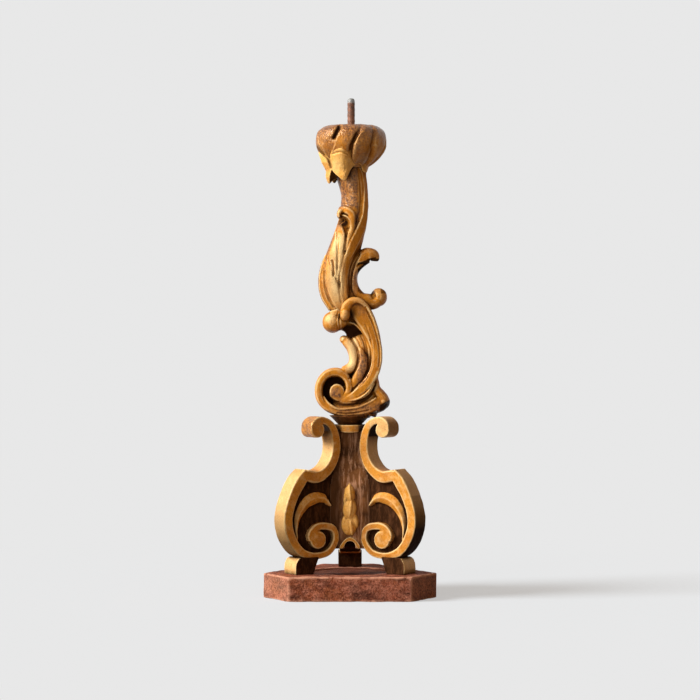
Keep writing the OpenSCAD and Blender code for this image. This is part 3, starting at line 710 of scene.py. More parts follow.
for side, angle in panel["turns"].items():
    carved(side + "Panel", [nodePart("panel_" + side)], "panel_" + side, panelWood,
           soft=1, wobble=0.5, wobbleSize=16, paintedShade=partial(panelShade, angle))
    carved(side + "Arch", [nodePart("arch_" + side)], "arch_" + side, boardGold,
           voxel=0.5, soft=4, wobble=0.2)
for side, angle in panel["turns"].items():
    carved(side + "Spray", [turned(p, angle) for p in sprayParts()], "leaf_spray_" + side,
           sprayGold, voxel=0.4, soft=2, wobbleSize=4)
print("panels, arches and sprays are in place")

cap = {"hang": 1.8}
cone = {"bulge": 3.5, "bore": 14}


def capPart():  # the lower edge hangs down in the middle of each side
    points, faces = nodePart("cap_plate")
    a = np.arctan2(points[:, 1], points[:, 0])
    low = points[:, 2] < points[:, 2].mean()
    points[:, 2] -= low * cap["hang"] * (1 + np.sin(3 * a)) / 2
    return points, faces


def conePart():  # the turned cone, a little fuller in the middle
    points, faces = nodePart("stem_collar")
    low, high = points[:, 2].min(), points[:, 2].max()
    share = np.sin(np.pi * (points[:, 2] - low) / (high - low))
    away = np.maximum(np.hypot(points[:, 0], points[:, 1]), 1e-6)
    wide = 1 + cone["bulge"] * share * (away > cone["bore"]) / away
    return points * np.stack([wide, wide, np.ones(len(wide))], 1), faces


carved("capPlate", [capPart()], "cap_plate", boardGold, voxel=0.6, wobble=0.3, wearAndLight=0.4)
carved("stemCollar", [conePart()], "stem_collar", darkWood, voxel=0.7, soft=4,
       wobble=0.3)
print("cap and collar are in place")

stemFoot = levelOf("stem_lower")
lowerChannel = [(-28, 23), (-19, 16.3), (-8.6, 13.6), (3, 14), (12.3, 16.8), (20.4, 21), (28, 28)]
lowerStem = {
    "strands": {  # x, height over the foot, width, depth and, on the front, how far forward
        "core": [
            (4, -3.5, 44, 38), (4, 1, 50, 40), (5, 7, 60, 40), (11, 20, 58, 36), (17, 36, 46, 27),
            (18, 54, 34, 26), (18, 74, 28, 26), (16, 90, 30, 22), (12.5, 103, 31, 17),
            (9, 111, 30, 20), (6, 118, 35, 21), (0, 128, 44, 25), (-3, 136, 48, 36),
            (-5, 142, 46, 39),
        ],
        "web": [
            (9, 105, 14, 16), (10.5, 101, 24, 24), (12, 95, 27, 29), (14, 87, 24, 31),
            (16.5, 79, 18, 30), (19, 70, 13, 28), (20, 60, 8, 20),
        ],
        "fold": [  # the edge of a second leaf behind the band
            (-1, 121, 2, 6, -10.5), (6, 118.5, 2.5, 7, -11.5), (12, 113.5, 2.8, 8, -12),
            (17.5, 106.5, 2.6, 7, -12.5), (21.5, 99, 2.2, 6, -12), (24, 92, 1.4, 3, -10.5),
        ],
        "liner": [  # fills the gap between the rib and the band
            (22, 99, 5, 10, -9.5), (25, 88, 6, 12, -10), (25.6, 76, 6, 12, -10),
            (24, 64, 6, 12, -10), (19.5, 53, 6, 12, -10), (12.5, 43, 6, 12, -10),
            (4, 34, 4, 10, -10),
        ],
        "cBand": [
            (6, 146, 16, 43), (11.5, 139, 23, 44), (17, 129, 24.5, 44), (22.5, 118.5, 21.5, 43.5),
            (28.7, 105, 18.2, 43), (32.8, 93, 15.4, 42), (34.7, 82, 14.5, 41.5), (34.4, 69, 14, 42),
            (31, 56, 14, 42), (24.5, 45, 14, 42), (16, 35.5, 13, 41), (6, 27, 10, 40),
            (-4, 21.5, 7.5, 38), (-13, 19, 5, 36),
        ],
        "ringLeaf": [
            (44, 26, 12, 28), (36, 16, 17, 36), (22, 8.5, 17, 40), (5, 4.5, 13, 41),
            (-13, 4.5, 11, 41), (-27.5, 9.5, 10.5, 40), (-37.5, 19.5, 10.5, 39.5),
            (-40.6, 33, 10.5, 39), (-36.6, 46.5, 10.5, 39), (-26, 55, 11.5, 39),
            (-12.5, 55, 12, 38.5), (-3.5, 47, 10.5, 38), (-1.2, 35.5, 9.5, 37.5), (-6, 26, 9, 37),
            (-14, 21.5, 8.5, 36.5), (-22, 24.5, 7, 36.5), (-24.5, 31, 5, 36),
        ],
        "channelRidge": [
            (-34, 25, 1.5, 5, -15.5), (-30, 18.5, 3, 6, -16.5), (-23.7, 12.5, 4, 7, -17.5),
            (-14, 8.4, 4, 7, -18), (-0.5, 9.3, 4, 7, -18), (10, 11, 4, 7, -18),
            (18, 13.6, 4, 7, -17.5), (26, 17.5, 3.5, 6, -16.5), (34, 23, 2.5, 6, -15),
        ],
        "leafStrand": [
            (-4, 19.5, 1.5, 5, -16.5), (4, 20.2, 3, 6, -17.5), (12.3, 22.3, 4, 7, -18),
            (20.4, 27, 4.5, 7, -18), (26, 33, 4, 7, -17.5), (31, 42, 3, 6, -17),
        ],
        "archRim": [  # the rolled leaf over the niche and its thin rim
            (-5.5, 127, 8, 10, -17), (-6.3, 133, 12, 14, -18), (-4.5, 141, 13, 16, -18.5),
            (2, 147.5, 11, 16, -19), (10.5, 148.5, 8.5, 16, -19), (18.5, 144, 7, 17, -18),
            (25, 135.5, 6, 20, -15), (31, 123, 5, 24, -11), (36.5, 106, 4, 28, -7),
            (40, 88, 3, 30, -5),
        ],
        "innerLeaf": [
            (-8, 101, 9, 22), (-4.4, 96, 13, 28), (1.6, 89, 14.5, 32), (5.4, 80, 14.8, 33),
            (6, 70, 14.8, 34), (2, 61.5, 15.5, 35), (-8, 56.5, 14, 36),
        ],
        "innerRib": [
            (10.5, 90, 3, 6, -11.5), (14, 83, 9, 11, -12.5), (16.6, 74, 12, 13, -13),
            (16.4, 64.5, 14.5, 14, -13), (12.5, 54, 14.5, 14, -13), (7, 44, 12, 12, -13),
            (1.5, 36, 5, 8, -12.5),
        ],
        "curl": [
            (29, 62, 8, 22), (31.5, 52, 10, 26), (32, 42, 10, 30), (34.5, 33, 13, 32),
            (39, 27, 14, 34), (43.5, 21, 14, 34), (42, 13.5, 14, 34), (34, 8, 12, 32),
        ],
        "bulb": [
            (-1, 121, 12, 18), (-7, 121, 19, 28), (-12, 121.3, 22, 32), (-18, 121.5, 25, 34),
            (-24, 121, 26, 32),
        ],
    },
    "kinds": {"cBand": "crisp", "ringLeaf": "flat", "bulb": "round"},  # the others are soft
    "discs": [(-16.8, 31.5, 9.3, 37, 0.6), (-19, 33, 21, 12, 0)],  # x, height, radius, depth, dome
    "tips": [  # rounded ends: centre, radii
        ((-22.5, 0, 121), (13.5, 17.5, 14)), ((-6.2, -19.5, 131.5), (6.6, 8.5, 9)),
        ((-8, 0, 98.5), (5.5, 13, 5.5)), ((43.4, 0, 17.5), (8.6, 18.2, 9.8)),
    ],
    "grooves": [  # line, depth, width
        ([(-12, 133), (-14, 124), (-13, 112)], 0.9, 1.1),
        ([(-15.5, 135), (-17.5, 124), (-16, 110)], 0.5, 0.9),
        ([(20, 140), (29.5, 119), (36.0, 98), (38.4, 80), (37.5, 64)], 0.9, 1.0),
        ([(20, 118), (27, 98), (29.3, 80), (28.4, 64), (21.6, 48), (11, 37)], 0.5, 0.9),
        ([(2.5, 99), (9, 88), (11.2, 78), (10.2, 68), (5.4, 56), (-1, 48)], 1.3, 1.2),
        ([(6, 103), (11, 96), (13.5, 89)], 0.7, 0.9),
        ([(14, 103), (18, 94), (20, 82), (20.5, 70)], 0.8, 1.0),
        ([(26, 98), (27.4, 84), (26.6, 68), (21.8, 53), (13, 41)], 0.6, 1.1),
        ([(36, 46), (30, 36), (20, 24), (11, 18)], 2.4, 1.8),
        ([(41, 9.0), (45, 11.5), (50, 14.5)], 2.5, 3.0),
        (lowerChannel, 2.6, 2.0),
        ([(-16, 3.5), (-4, 2.5), (10, 4), (24, 7)], 1.0, 1.0),
    ],
}


def lowerStemParts():
    whole, front = [], []
    for key, rows in lowerStem["strands"].items():
        part = band(raised(rows, stemFoot), lowerStem["kinds"].get(key, "soft"))
        (front if len(rows[0]) == 5 else whole).append(part)
    whole += [disc(x, stemFoot + z, *rest) for x, z, *rest in lowerStem["discs"]]
    for (x, y, z), radii in lowerStem["tips"]:
        (front if y else whole).append(blob((x, y, z + stemFoot), radii, 0.9))
    return whole + bothSides(front)


def lowerShade(co, out):  # painted shade where the carving is deep: the recess behind the front, the cavity under the bulb, the niche, the channel, a seam and the curl's end
    x, y, z = co[:, 0], np.abs(co[:, 1]), co[:, 2] - stemFoot
    deep = rise(y, 11.2, -3) * rise(np.abs(out[:, 1]) * 2 - 0.5) * (z > 12)
    cavity = spot(x, z, (2, 112), (13, 10), 4) * rise(y, 13.5, -2)
    niche = spot(x, z, (3, 132), (6, 8)) * (y < 22.5)
    channel = nearLine(x, z, lowerChannel, 2.7) * (y > 12) * (y < 20)
    curlEnd = spot(x, z - 0.5 * (x - 45), (45.5, 11), (8, 6.4), 6)
    seam = nearLine(x, z, [(24.5, 76), (23.4, 63), (18.4, 51), (9, 38)], 2.4) * (y < 18)
    return rise(deep + 0.75 * cavity + 0.9 * niche + 0.9 * channel + 0.6 * seam + 1.3 * curlEnd)


def lowerWearAndLight(co, out):  # over 0 it is browner and glossier, under 0 it is paler: browned on the rib, the eye and the base, with painted shade and painted highlights
    x, y, z = co[:, 0], np.abs(co[:, 1]), co[:, 2] - stemFoot
    glossy = spot(x, z, (17, 62), (9.5, 25), 4) * (y < 20.5) * (x > 0.3 * (z - 45))
    # painted shade: down-facing surfaces and the inside of the arch are browned
    under = rise(-out[:, 2] * 1.2 - 0.2)
    # painted highlights on the inner leaf and the bulb, and a stroke along the band
    pale = spot(x, z, (2, 78), (7, 22), 4) + spot(x, z, (-26, 128), (8, 8))
    eye = spot(x, z, (-18, 31), (8, 8), 4)
    base = rise(z, 30, -16) * rise(x, -34, 20)
    archInside = (y < 22.3) * rise(z, 124, 6) * (x > -2)
    rubbedAndShaded = glossy + 0.6 * under + 0.6 * base + 0.35 * archInside + 0.75 * eye
    stroke = nearLine(x, z, [(36, 56), (30.5, 43.5), (23.5, 34.5)], 1.6) * (y > 18)
    return np.clip(rubbedAndShaded - pale * (y > 10) * (rubbedAndShaded < 0.3) - 1.4 * stroke, -1, 1)


carved("lowerStem", lowerStemParts(), "stem_lower", stemGold, voxel=0.7, paintedShade=lowerShade,
       wearAndLight=lowerWearAndLight, grooves=raisedLines(lowerStem["grooves"], stemFoot))
print("the lower stem is carved")

jointZ = levelOf("stem_upper")
upperStem = {
    "trunk": [  # height over the joint, middle, half the width, half the depth
        (-6, 1, 25, 20), (6, -7, 24, 20.5), (18, -13, 25, 21), (32, -16.5, 24.5, 21),
        (46, -17, 23.5, 21), (64, -13.5, 23, 20.5), (81, -7, 23, 20), (97, -2, 22, 19.5),
        (110, 2, 21, 19), (123, 4.5, 19.5, 18.5), (134, 6, 18.3, 18), (150, 5.8, 17.5, 17.5),
        (160, 4, 18, 17.5), (168, 2.6, 18.9, 18), (176, 1.8, 19.4, 18.4), (188, 1.4, 19.8, 19),
    ],
    "sunk": 1.6,  # how much slimmer the trunk is under the strands
    "strands": {  # x, height over the joint, width, height over the trunk
        "goldBand": [
            (15, 186, 8, 0.6), (17.5, 178, 8.5, 1), (19.3, 166, 9, 1.4), (20, 154, 9.2, 1.8),
            (20, 142, 9.2, 2), (19, 128, 10, 2.4), (17.6, 119, 11.5, 2.6), (13.5, 106, 13, 2.8),
            (7, 92, 13, 2.8), (1.2, 79, 11.5, 2.8), (-4.3, 66.4, 9.5, 2.8), (-7.9, 52.7, 8.5, 2.6),
            (-9.3, 43.6, 8, 2.5), (-9, 25, 7.5, 2.3), (-6, 8, 6.5, 1.8),
        ],
        "lip": [
            (-19.5, 128, 5, 1.5), (-17.3, 130, 8, 3), (-10.2, 131.2, 9, 3.6), (-3.8, 130, 9.5, 3.6),
            (1.7, 125.5, 9, 3.4), (3.6, 118, 8.5, 3.4), (4, 112.5, 7.5, 3.2), (1.8, 103, 6.5, 3),
            (-2, 91, 4.5, 2.4), (-6, 78, 3, 1.6),
        ],
        "thinCurl": [
            (-20, 121, 2, 1), (-17, 122.9, 2.4, 2.6), (-11.1, 124.3, 2.7, 3.2),
            (-4.7, 122, 2.7, 3.2), (-0.4, 118, 2.6, 3.2), (1, 113, 2.4, 3), (-0.4, 105.6, 2.3, 2.8),
            (-3.8, 92.9, 2.2, 2.4), (-6.5, 81.9, 2, 1.8),
        ],
        "paleLobe": [
            (-11.1, 112, 3, 1), (-11.5, 104, 10.5, 2.6), (-11.3, 90, 12, 3), (-11.5, 72, 8, 2.8),
            (-13.5, 55, 5.5, 2.4), (-15.7, 44, 3.5, 1.6), (-16.5, 34, 2, 1),
        ],
        "sideLobe": [
            (-18.4, 102, 3, 1), (-19.8, 88, 10, 2.6), (-21, 74, 14, 3), (-20.8, 62, 12, 3),
            (-19.8, 50, 7, 2.2), (-18.6, 38, 2.5, 0.8),
        ],
        "lowLobe": [
            (-29, 66, 3, 1.2), (-27.6, 52, 10.5, 2.6), (-25, 39, 15, 3), (-20.5, 25, 17, 3),
            (-15.5, 13, 16, 2.6), (-11, 4, 12.5, 2), (-8, -2, 8, 1.2),
        ],
        "leftEdge": [
            (-34, 72, 2.5, 1), (-37.5, 60, 4.5, 1.8), (-39.6, 48, 5.5, 2.2),
            (-40.3, 34.5, 5.5, 2.2), (-36.6, 16.3, 5.5, 2.2), (-28.4, 1, 5, 1.8),
        ],
        "rightRib": [
            (-2.5, 4, 4, 1.8), (-5.6, 20, 5, 2.4), (-6.2, 35, 5.5, 2.8), (-4.4, 50, 5, 2.8),
            (-0.2, 64, 4.5, 2.4), (5, 77, 3.5, 1.6),
        ],
    },
    "kinds": {"goldBand": "flat", "leftEdge": "flat", "thinCurl": "round"},
    "scroll": [  # x, height, width and depth of the scroll on the right
        (31.6, 64.5, 9, 19), (31.8, 67.8, 13.5, 22), (29.8, 71, 17, 26), (25.8, 72.2, 18.8, 28),
        (20.5, 71, 20.5, 28), (13, 64.5, 18, 29), (7, 57, 16, 29), (3.5, 48, 14, 30),
        (3.2, 38, 13.5, 30), (6, 27, 14, 30), (12.5, 17, 17, 30), (21.5, 12, 21, 30),
        (30, 11.5, 20, 28), (36, 15, 19, 27),
    ],
    "roll": ((37.5, 0, 17.5), (10.8, 14, 12)),
    "lipBack": [  # the rolled edge that joins the lips round the left side
        (-5, 129, 9, 31), (-10, 129.4, 8.5, 32.5), (-13, 127.6, 7.4, 33.5), (-14.2, 124.2, 6, 34),
        (-13.6, 120.6, 3.6, 34),
    ],
    "tenon": (1.5, 13, 160, 184),  # middle, radius and where it starts and ends
    "grooves": [  # line, depth, width and whether it is cut on the front alone
        ([(-15, 113), (-13, 117), (-8, 118.5), (-4, 115), (-2.6, 107)], 3.0, 2.4, "front"),
        ([(-10, 116), (-7, 112), (-4.5, 104)], 2.6, 3.0, "front"),
        ([(-4.5, 100), (-5.6, 88), (-8, 74)], 1.2, 1.6),
        ([(-23.2, 64), (-21.9, 58), (-21.4, 51), (-21.2, 45)], 2.0, 1.5),
        ([(-33.9, 50), (-32.6, 30), (-28.4, 16.3), (-22, 5)], 1.8, 1.9),
        ([(0.6, 12), (0.4, 30), (1.6, 45), (5.5, 60), (11, 72)], 2.2, 1.7),
        ([(-15.4, 94), (-16.2, 80), (-16.4, 66), (-16.6, 54)], 0.7, 1.6),
        ([(-13, 36), (-13.6, 26), (-11, 10)], 0.8, 1.6),
        ([(28, 25), (30, 21), (31, 17)], 2.6, 2.6),
        ([(10.5, 58), (17, 59.5), (25, 60), (34, 60.5)], 2.4, 2.2),
        ([(10, 184), (12.4, 170), (13.4, 156), (13.8, 142), (12.2, 126), (8, 112)], 1.3, 1.2),
    ],
    "darkGrooves": (4, 5),  # which of them are painted darker, counted from 0
}


def trunkAt(z):  # the trunk's middle, half width and half depth at a height over the joint
    rows = splineThrough(upperStem["trunk"])
    middle, wide, deep = (np.interp(z, rows[:, 0], rows[:, k]) for k in (1, 2, 3))
    cut = upperStem["sunk"] * rise(z, 136, -12)
    return middle, wide - cut, deep - cut


def trunkFront(x, z):  # the point on the trunk's front over x, z, and the way it faces
    middle, wide, deep = trunkAt(z - jointZ)
    u = np.clip((x - middle) / wide, -0.97, 0.97)
    y = -deep * np.sqrt(1 - u ** 2)
    out = np.stack([u / wide, y / deep ** 2, np.zeros(len(x))], 1)
    return np.stack([middle + u * wide, y, z], 1), out / np.linalg.norm(out, axis=1)[:, None]


def trunkBody():
    z = np.linspace(-2, 187, 64)
    middle, wide, deep = (v[:, None] for v in trunkAt(z))
    a = 2 * np.pi * np.arange(40) / 40
    return closedTube(np.stack([
        middle + wide * np.cos(a), deep * np.sin(a), (z + jointZ)[:, None] * np.ones(40),
    ], 2))


def upperStemParts():
    front = [
        strand(raised(rows, jointZ), trunkFront, upperStem["kinds"].get(key, "soft"))
        for key, rows in upperStem["strands"].items()
    ]
    middle, radius, *ends = upperStem["tenon"]
    tenon = latheAt(middle, [(radius, jointZ + z) for z in ends], 40)
    (x, y, z), radii = upperStem["roll"]
    roll = blob((x, y, jointZ + z), radii, 0.8)
    body, rolled = (band(raised(upperStem[key], jointZ), "soft") for key in ("scroll", "lipBack"))
    return [trunkBody(), body, tenon, roll, rolled] + bothSides(front)


def upperShade(co, out):  # painted shade in the hollow of the lip, under the scroll's upper arm, on its right-facing throat, behind the lip, in the roll's hollow and a wedge, and towards both ends; two grooves are also darker
    x, z = co[:, 0], co[:, 2] - jointZ
    front = rise(-out[:, 1], 0.3, 0.3)
    hollow = spot(x, z, (-7.5, 113.5), (6.5, 6)) * (np.abs(co[:, 1]) < 22.2) * front
    under = (x > 10) & (z > 40) & (z < 61 + 0.25 * x) & (out[:, 2] < -0.25)
    throat = (x > 10) & (z > 22) & (z < 62) & (out[:, 0] > 0.3)
    behind = nearLine(x, z, [(-21, 121), (-19, 110), (-14.5, 117)], 2) * (out[:, 1] ** 2 > 0.1)
    rollHollow = spot(x, z, (28.5, 22), (3.2, 4))
    wedge = spot(x - 0.16 * (z - 118), z, (8, 119), (2.4, 12))
    lines = [upperStem["grooves"][k][0] for k in upperStem["darkGrooves"]]
    darkLines = sum(nearLine(x, z, line, 1.7) for line in lines) * (np.abs(out[:, 1]) > 0.3)
    ends = 0.5 * rise(z, 166, 14) + 0.6 * rise(z, 9, -12)
    sides = 0.9 * under + 0.6 * throat + 0.5 * behind
    return rise(1.4 * hollow + sides + ends + rollHollow + 0.6 * (wedge + darkLines))


def upperWearAndLight(co, out):  # the neck, the swelling's left side, the lip's fold and the lower middle are rubbed brown, the gap beside the band is browned as painted shade, and two lobes on the left are paler as painted highlights
    x, z = co[:, 0], co[:, 2] - jointZ
    neck = rise(z, 129, 6) * rise(x, 12, -3)
    left = rise(out[:, 0], -0.55, -0.3) * rise(z, 108, -14)
    fold = spot(x, z, (-12, 112), (7, 12)) * (out[:, 1] < -0.2)
    # painted shade in the gap beside the band
    between = spot(x - 0.16 * (z - 118), z, (9, 118), (3.2, 16))
    lower = spot(x, z, (4, 40), (8, 34))
    rubbedAndShaded = 0.76 * neck + 0.7 * left + 0.6 * fold + 0.9 * between + 0.7 * lower
    # painted highlights on two lobes on the left
    lobes = spot(x, z, (-15, 88), (10, 20)) + spot(x, z, (-17, 38), (11, 28))
    return np.clip(rubbedAndShaded - 1.2 * lobes * rise(1.3 - rubbedAndShaded / 0.3), -1, 1)


carved("upperStem", upperStemParts(), "stem_upper", stemGold, voxel=0.7, soft=2,
       paintedShade=upperShade, wearAndLight=upperWearAndLight, grooves=raisedLines(upperStem["grooves"], jointZ))
print("the upper stem is carved")

cupX = 1.5
cupZ = levelOf("cup")
cup = {
    "radius": 46.0, "height": 55.0,  # as in the part's source
    "dish": [(29.5, 0), (27.5, 0.8), (24, 6), (21, 8), (1, 8)],  # radius, depth under the rim
    "side": [
        (0.45, 0), (0.61, 0.1), (0.74, 0.195), (0.86, 0.31), (0.94, 0.42), (0.985, 0.53), (1, 0.65),
        (0.985, 0.77), (0.925, 0.88), (0.8, 0.965), (0.69, 1),
    ],
    "grooves": [  # angle at the foot, middle and top (0 is the front, + to the right), depth, width
        (-6, 1, 21, 5.4, 2.6), (48, 38, 44, 3.6, 3.0), (-60, -64, -80, 2.6, 3.0),
        (70, 80, 100, 2.4, 3.6), (96, 116, 142, 2.6, 4.0), (140, 156, 178, 2.8, 4.0),
        (182, 194, 210, 2.6, 4.0), (236, 232, 236, 2.2, 3.6),
    ],
    "strap": (-56, -29, -20),  # the left edge of the raised strap that leaves the slot
    "strapHeight": 1.6,
    "slot": ((-14, 606), (-17.5, 599), (-21, 591.6)),
    "leafGap": [(-43, 582), (-35.5, 573), (-27.5, 564), (-24.5, 555)],  # over the left leaf
}
rimZ = cupZ + cup["height"]
cupCuts = [(cup["slot"], 4.5, 2.4, "front"), (cup["leafGap"], 2.0, 1.8, "front")]
# painted shade in the slot, the grooves beside it and over the left leaf
cupShadeLines = [  # share, line, width
    (1.4, cup["slot"], 2.4), (0.85, [(7.5, 597), (3.8, 587), (1, 571), (0, 565)], 2.2),
    (0.35, [(31, 600), (27.5, 586), (18, 566), (13, 560)], 3.2), (0.7, cup["leafGap"], 2.4),
]


def cupPart():
    around, up = 300, 90
    side = splineThrough(cup["side"], 8)
    t = np.linspace(0, 1, up)
    radius = np.interp(t, side[:, 1], side[:, 0]) * cup["radius"]
    angle = 360 * np.arange(around) / around - 180
    grid = np.repeat(radius[:, None], around, 1)

    def awayFrom(line):  # how far each point lies to the right of a line of three angles
        line = np.interp(t, [0, 0.5, 1], line)
        away = (angle[None] - line[:, None] + 180) % 360 - 180
        return np.radians(away) * radius[:, None]

    fade = np.interp(t, [0, 0.6, 0.8, 0.95, 1], [1, 1, 0.6, 0.3, 0.2])[:, None]
    for *line, depth, width in cup["grooves"]:
        arc = awayFrom(line)
        grid -= depth * fade * np.exp(-(arc / width) ** 2)
        grid += 0.35 * depth * fade * np.exp(-((arc - 2.2 * width) / (1.5 * width)) ** 2)
    arc = awayFrom(cup["strap"])
    grid -= cup["strapHeight"] * fade * rise(0.5 - arc / 1.2) * rise(1 + arc / 14)
    grid = np.minimum(grid, cup["radius"] - 0.1)
    turns = (np.sin(np.radians(angle)), -np.cos(np.radians(angle)))
    rings = [circle(cupX, r, turns, cupZ + h * cup["height"]) for r, h in zip(grid, t)]
    rings += [circle(cupX, r, turns, rimZ - down) for r, down in cup["dish"]]
    return closedTube(np.array(rings))


backLeaf = {  # the radii of the plainer leaves
    "tip": (44.2, 42.8, 38.6, 33.4, 32.6, 29.5), "side": (42.5, 40.5, 36.5, 32.5, 31, 29.5),
}
collar = {
    "leaves": [  # angle, then the radius at six heights, then the height of the leaves' edge
        (180, 43.4, 41.6, 37.4, 32.6, 33, 30, -18.4), (192, 41.6, 42, 39.2, 33, 33.6, 30, -19.8),
        (201, 40, 39, 38, 33, 33.4, 30.5, -19.4), (208, 39, 37.2, 35.8, 32.6, 33, 31, -14),
        (216, 38, 35.4, 33, 32, 31.6, 31, -3.2), (228, 40.5, 39, 36.5, 33.2, 32, 30.5, -7.6),
        (241, 43, 41.2, 38, 33.4, 32.4, 30, -13.6), (253.5, *backLeaf["tip"], -17.4),
        (261.5, 42, 40.6, 37.2, 31.2, 30, 28.5, -11.5), (269, 38, 36.4, 33.2, 27.6, 26, 25, -3),
        (278, 36, 33.5, 29.2, 24, 22, 22, 1.8), (288, 36, 33, 28.6, 23.6, 21, 21, 4.6),
        (300, 36, 33, 27.6, 23, 21, 21, 3), (310, 38, 34, 24.5, 21.4, 20.8, 20.6, -0.6),
        (322, 38, 34, 25, 21.4, 20.6, 20.4, -5.2), (345, 38, 34, 25, 21.2, 20.6, 20.4, -5.5),
        (15, 38, 34, 25, 21.4, 20.8, 20.4, -4), (50, 40, 38, 32, 29, 28, 27, -2),
        (66, *backLeaf["side"], -10), (82, *backLeaf["tip"], -18), (98, *backLeaf["side"], -10),
        (110, 40, 38, 33, 31, 30, 29, -3), (122, *backLeaf["side"], -10),
        (138, *backLeaf["tip"], -17.6), (149, *backLeaf["side"], -11),
        (158, 40, 38, 33, 31, 30, 29, -4), (167, 41.4, 39.6, 35.4, 31.6, 31.4, 29.4, -14),
    ],
    "heights": [24, 17, 7, -3.5, -12, -20],  # over the cup's foot
    "top": 29, "hub": 18.6, "thick": 2.4,
    "ring": [(15, -13), (17.4, -13), (17.4, 0), (15, 0.5)],  # radius, height
    "creases": [
        ([(-22, 577), (-13, 578.5), (-4, 576)], 0.9, 1.0, "front"),
        ([(-23, 571.5), (-13, 573), (-3, 570)], 1.0, 1.1, "front"),
        ([(-7, 563), (-6, 556), (-7, 549)], 0.4, 1.2, "front"),
        (cup["leafGap"], 2.2, 1.6, "front"),
    ],
    # lines painted darker as shade: the gap over the left leaf and a crease right of the front leaf
    "darkening": [(0.7, cup["leafGap"], 1.9), (0.4, [(6, 566), (12, 562), (18, 556)], 2.4)],
}


def collarSkirt(around=480):
    leaves = sorted(collar["leaves"])
    smooth = splineThrough([(r[0] + k, *r[1:]) for k in (-360, 0, 360) for r in leaves], 8)
    angle = 360 * np.arange(around) / around
    values = np.array([np.interp(angle, smooth[:, 0], smooth[:, k]) for k in range(1, 8)])
    radii, drop = values[:6], values[6]
    flat, hub, thick = np.full(around, 1.0), collar["hub"], collar["thick"]

    def skin(h):  # the leaves' outside at a height for each angle
        down = [-q for q in collar["heights"]]
        return np.array([np.interp(-v, down, radii[:, i]) for i, v in enumerate(h)])

    profile = [(15 * flat, collar["top"]), (radii[0] - 3, collar["top"])]
    profile += [(skin(h * flat), h) for h in (24, 20, 16, 12)]
    profile += [(skin(h), h) for h in (9 + (drop - 9) * t for t in np.linspace(0, 1, 16))]
    end = skin(drop)
    profile += [
        (end - 0.5 * thick, drop - 0.6), (end - thick, drop + 0.6),
        (0.5 * (np.maximum(end - thick - 1, hub) + hub), 0.72 * drop + 0.6),
        (19 * flat, 0.62 * drop), (14 * flat, 0.6 * drop),
    ]
    turns = (np.cos(np.radians(angle)), np.sin(np.radians(angle)))
    return closedTube(np.array([circle(cupX, r, turns, cupZ + h) for r, h in profile]))


def collarShade(co, out):  # painted shade under the leaves and in the hollow between the two front leaves
    under = rise(2 - (out[:, 0] * (co[:, 0] - cupX) + out[:, 1] * co[:, 1]), 0, 4)
    darkening = onLines(co[:, 0], co[:, 2], collar["darkening"]) * (co[:, 1] < 0)
    return rise(0.88 * under * (co[:, 2] < cupZ + 4) + darkening)


def collarLightAndShade(co, out):  # painted highlights on the front leaf's left and on a sliver at the far left, and painted shade browning the leaf's right
    x, z = co[:, 0], co[:, 2]
    pale = spot(x, z, (-17, 557), (7, 9)) + spot(x, z, (-40, 570), (4, 9))
    brown = spot(x, z, (-1, 556), (5, 10))
    return np.clip((0.35 * brown - 1.1 * pale) * (co[:, 1] < 0), -1, 1)


def cupShade(co, out):  # painted shade: the slot, the two grooves beside it, the gap over the left leaf and the right-facing side are darker
    darkening = onLines(co[:, 0], co[:, 2], cupShadeLines) * (co[:, 1] < 0)
    return rise(darkening + 0.2 * rise(out[:, 0], 0.72, 0.25))


def cupWear(co, out):  # the upper half is worn down to brown, most of all at the rim
    x, z = co[:, 0], co[:, 2] - cupZ
    high = rise(z, 0.45 * cup["height"], 22)
    left = np.exp(-((x + 12) / 7) ** 2) * rise(z, 44, -8)
    return rise(0.46 + 0.3 * high - 0.3 * rise(x, 20, 8) * (1 - high) - 0.25 * left)


collarRing = latheAt(cupX, [(r, z + cupZ) for r, z in collar["ring"]])
carved("leafCollar", [collarRing, collarSkirt()], "leaf_collar", sprayGold, voxel=0.5, soft=4,
       wobble=0.3, wobbleSize=6, grooves=collar["creases"], paintedShade=collarShade, wearAndLight=collarLightAndShade)
carved("cupBowl", [cupPart()], "cup", cupGold, voxel=0.7, soft=2, wobble=0.35,
       grooves=cupCuts, paintedShade=cupShade, wearAndLight=cupWear)
print("leaf collar and cup are in place")

pricket = {  # heights are over the cup's rim
    "radius": 4.95, "dent": 0.03, "start": -8, "step": 2.4, "rings": 18,
    "inside": [(4.2, -30)], "tip": [(4.3, 34.3), (3.2, 35.6), (1.5, 36)],  # radius, height
}


def rodPart():  # a hammered rod, thinner here and there
    rows = [(r, rimZ + z) for r, z in pricket["inside"]]
    for i in range(pricket["rings"]):
        radius = pricket["radius"] * (1 - pricket["dent"] * (i % 3))
        rows.append((radius, rimZ + pricket["start"] + pricket["step"] * i))
    return latheAt(cupX, rows + [(r, rimZ + z) for r, z in pricket["tip"]], 32)


carved("pricketRod", [rodPart()], "pricket", iron, voxel=0.45, soft=2,
       wobble=0.18, wobbleSize=5)

hidden = {
    "foot_dowels": bareWood, "board_dowels": bareWood, "stem_dowel": bareWood,
    "joint_dowel": bareWood, "core_post": darkWood,
}
for name, material in hidden.items():
    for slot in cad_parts[name].material_slots:
        slot.material = material
print("the pricket is in place and the hidden pieces have their wood")

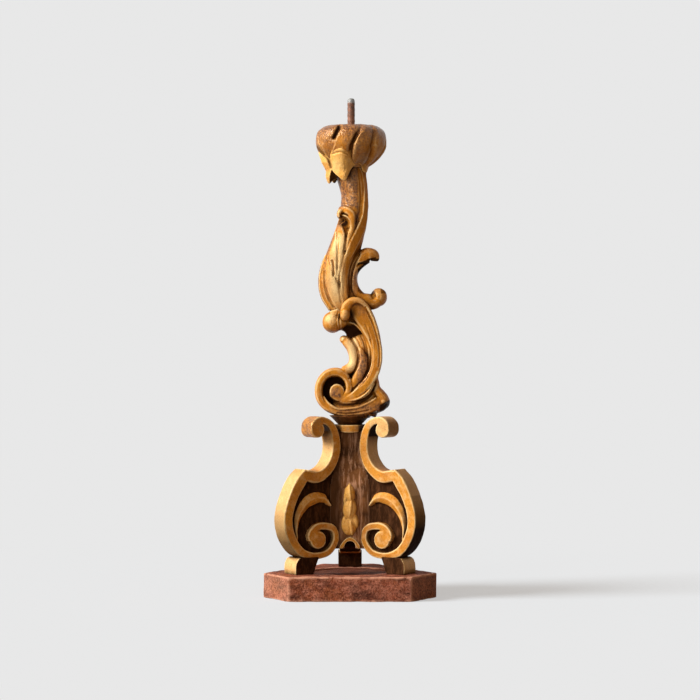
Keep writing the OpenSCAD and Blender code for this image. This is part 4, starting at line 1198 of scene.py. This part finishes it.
studio = {
    "paper": (0.806, 0.806, 0.806),  # the colour of the background
    "paperTint": (0.86, 0.943, 1.02),  # evens out the light's warmth on the floor
    "paperGlow": 0.58,  # how much of the floor's paleness is its own
    "bounce": (0.16, 0.13, 0.10),  # how much light the floor throws up on the object
    "skyLight": (0.27, 0.175, 0.10),  # what the world gives the object
    "lamps": {  # power, the way it shines, and how soft it is in degrees
        "key": (5.7, (0.82, 0.26, -0.46), 30), "fill": (0.8, (0.45, 0.88, -0.10), 20),
    },
}
view = {"distance": 3.12, "height": 0.3189, "lens": 123.4, "film": 36}


def inSight(tree):  # 1 for what the camera sees, straight, mirrored or through something
    rays = addNode(tree, "LightPath")
    eye = maths("MAXIMUM", rays["Is Camera Ray"], rays["Is Glossy Ray"])
    return maths("MAXIMUM", eye, rays["Is Transmission Ray"])


def paperFloor():
    material, tree, place = newMaterial("paleFloor")
    paper, glow = rgb(studio["paper"]), studio["paperGlow"]
    tinted = [c * (1 - glow) * share for c, share in zip(studio["paper"], studio["paperTint"])]
    finished(material, {
        "Base Color": rgb(tinted), "Specular IOR Level": 0,
        "Roughness": ramp(noise(place, 600, 2), 0, 1, 0.85, 0.95),
    })
    own = addNode(tree, "Emission", {"Color": paper, "Strength": glow})[0]
    bare = addNode(tree, "Emission", {"Color": paper, "Strength": 1.0})[0]
    lit = addNode(tree, "AddShader", {0: tree.nodes["Principled BSDF"].outputs[0], 1: own})[0]
    far = addNode(tree, "VectorMath", {0: place}, operation="LENGTH")["Value"]
    distant = addNode(tree, "MixShader", {0: ramp(far, 0.35, 0.9), 1: lit, 2: bare})[0]
    dull = addNode(tree, "BsdfDiffuse", {"Color": rgb(studio["bounce"])})[0]
    both = addNode(tree, "MixShader", {0: inSight(tree), 1: dull, 2: distant})[0]
    wired(tree.nodes["Material Output"], {"Surface": both})
    return material


bpy.ops.mesh.primitive_plane_add(size=60)
floor = bpy.context.object
floor.name = "floor"
floor.data.materials.append(paperFloor())

world = bpy.data.worlds.new("studio")
bpy.context.scene.world = world
world.use_nodes = True
back = mixed(inSight(world.node_tree), studio["skyLight"], studio["paper"])
wired(world.node_tree.nodes["Background"], {"Color": back})

for name, (power, way, softness) in studio["lamps"].items():
    lamp = bpy.data.objects.new(name, bpy.data.lights.new(name, "SUN"))
    lamp.data.energy = power
    lamp.data.angle = math.radians(softness)
    lamp.rotation_euler = Vector(way).to_track_quat("-Z", "Y").to_euler()
    bpy.context.scene.collection.objects.link(lamp)

camera = bpy.data.objects.new("camera", bpy.data.cameras.new("camera"))
camera.location = (0, -view["distance"], view["height"])
camera.rotation_euler = (math.radians(90), 0, 0)
camera.data.lens, camera.data.sensor_width = view["lens"], view["film"]
bpy.context.scene.collection.objects.link(camera)
bpy.context.scene.camera = camera
bpy.context.scene.view_settings.view_transform = "Standard"
print("floor, lamps and camera are in place")
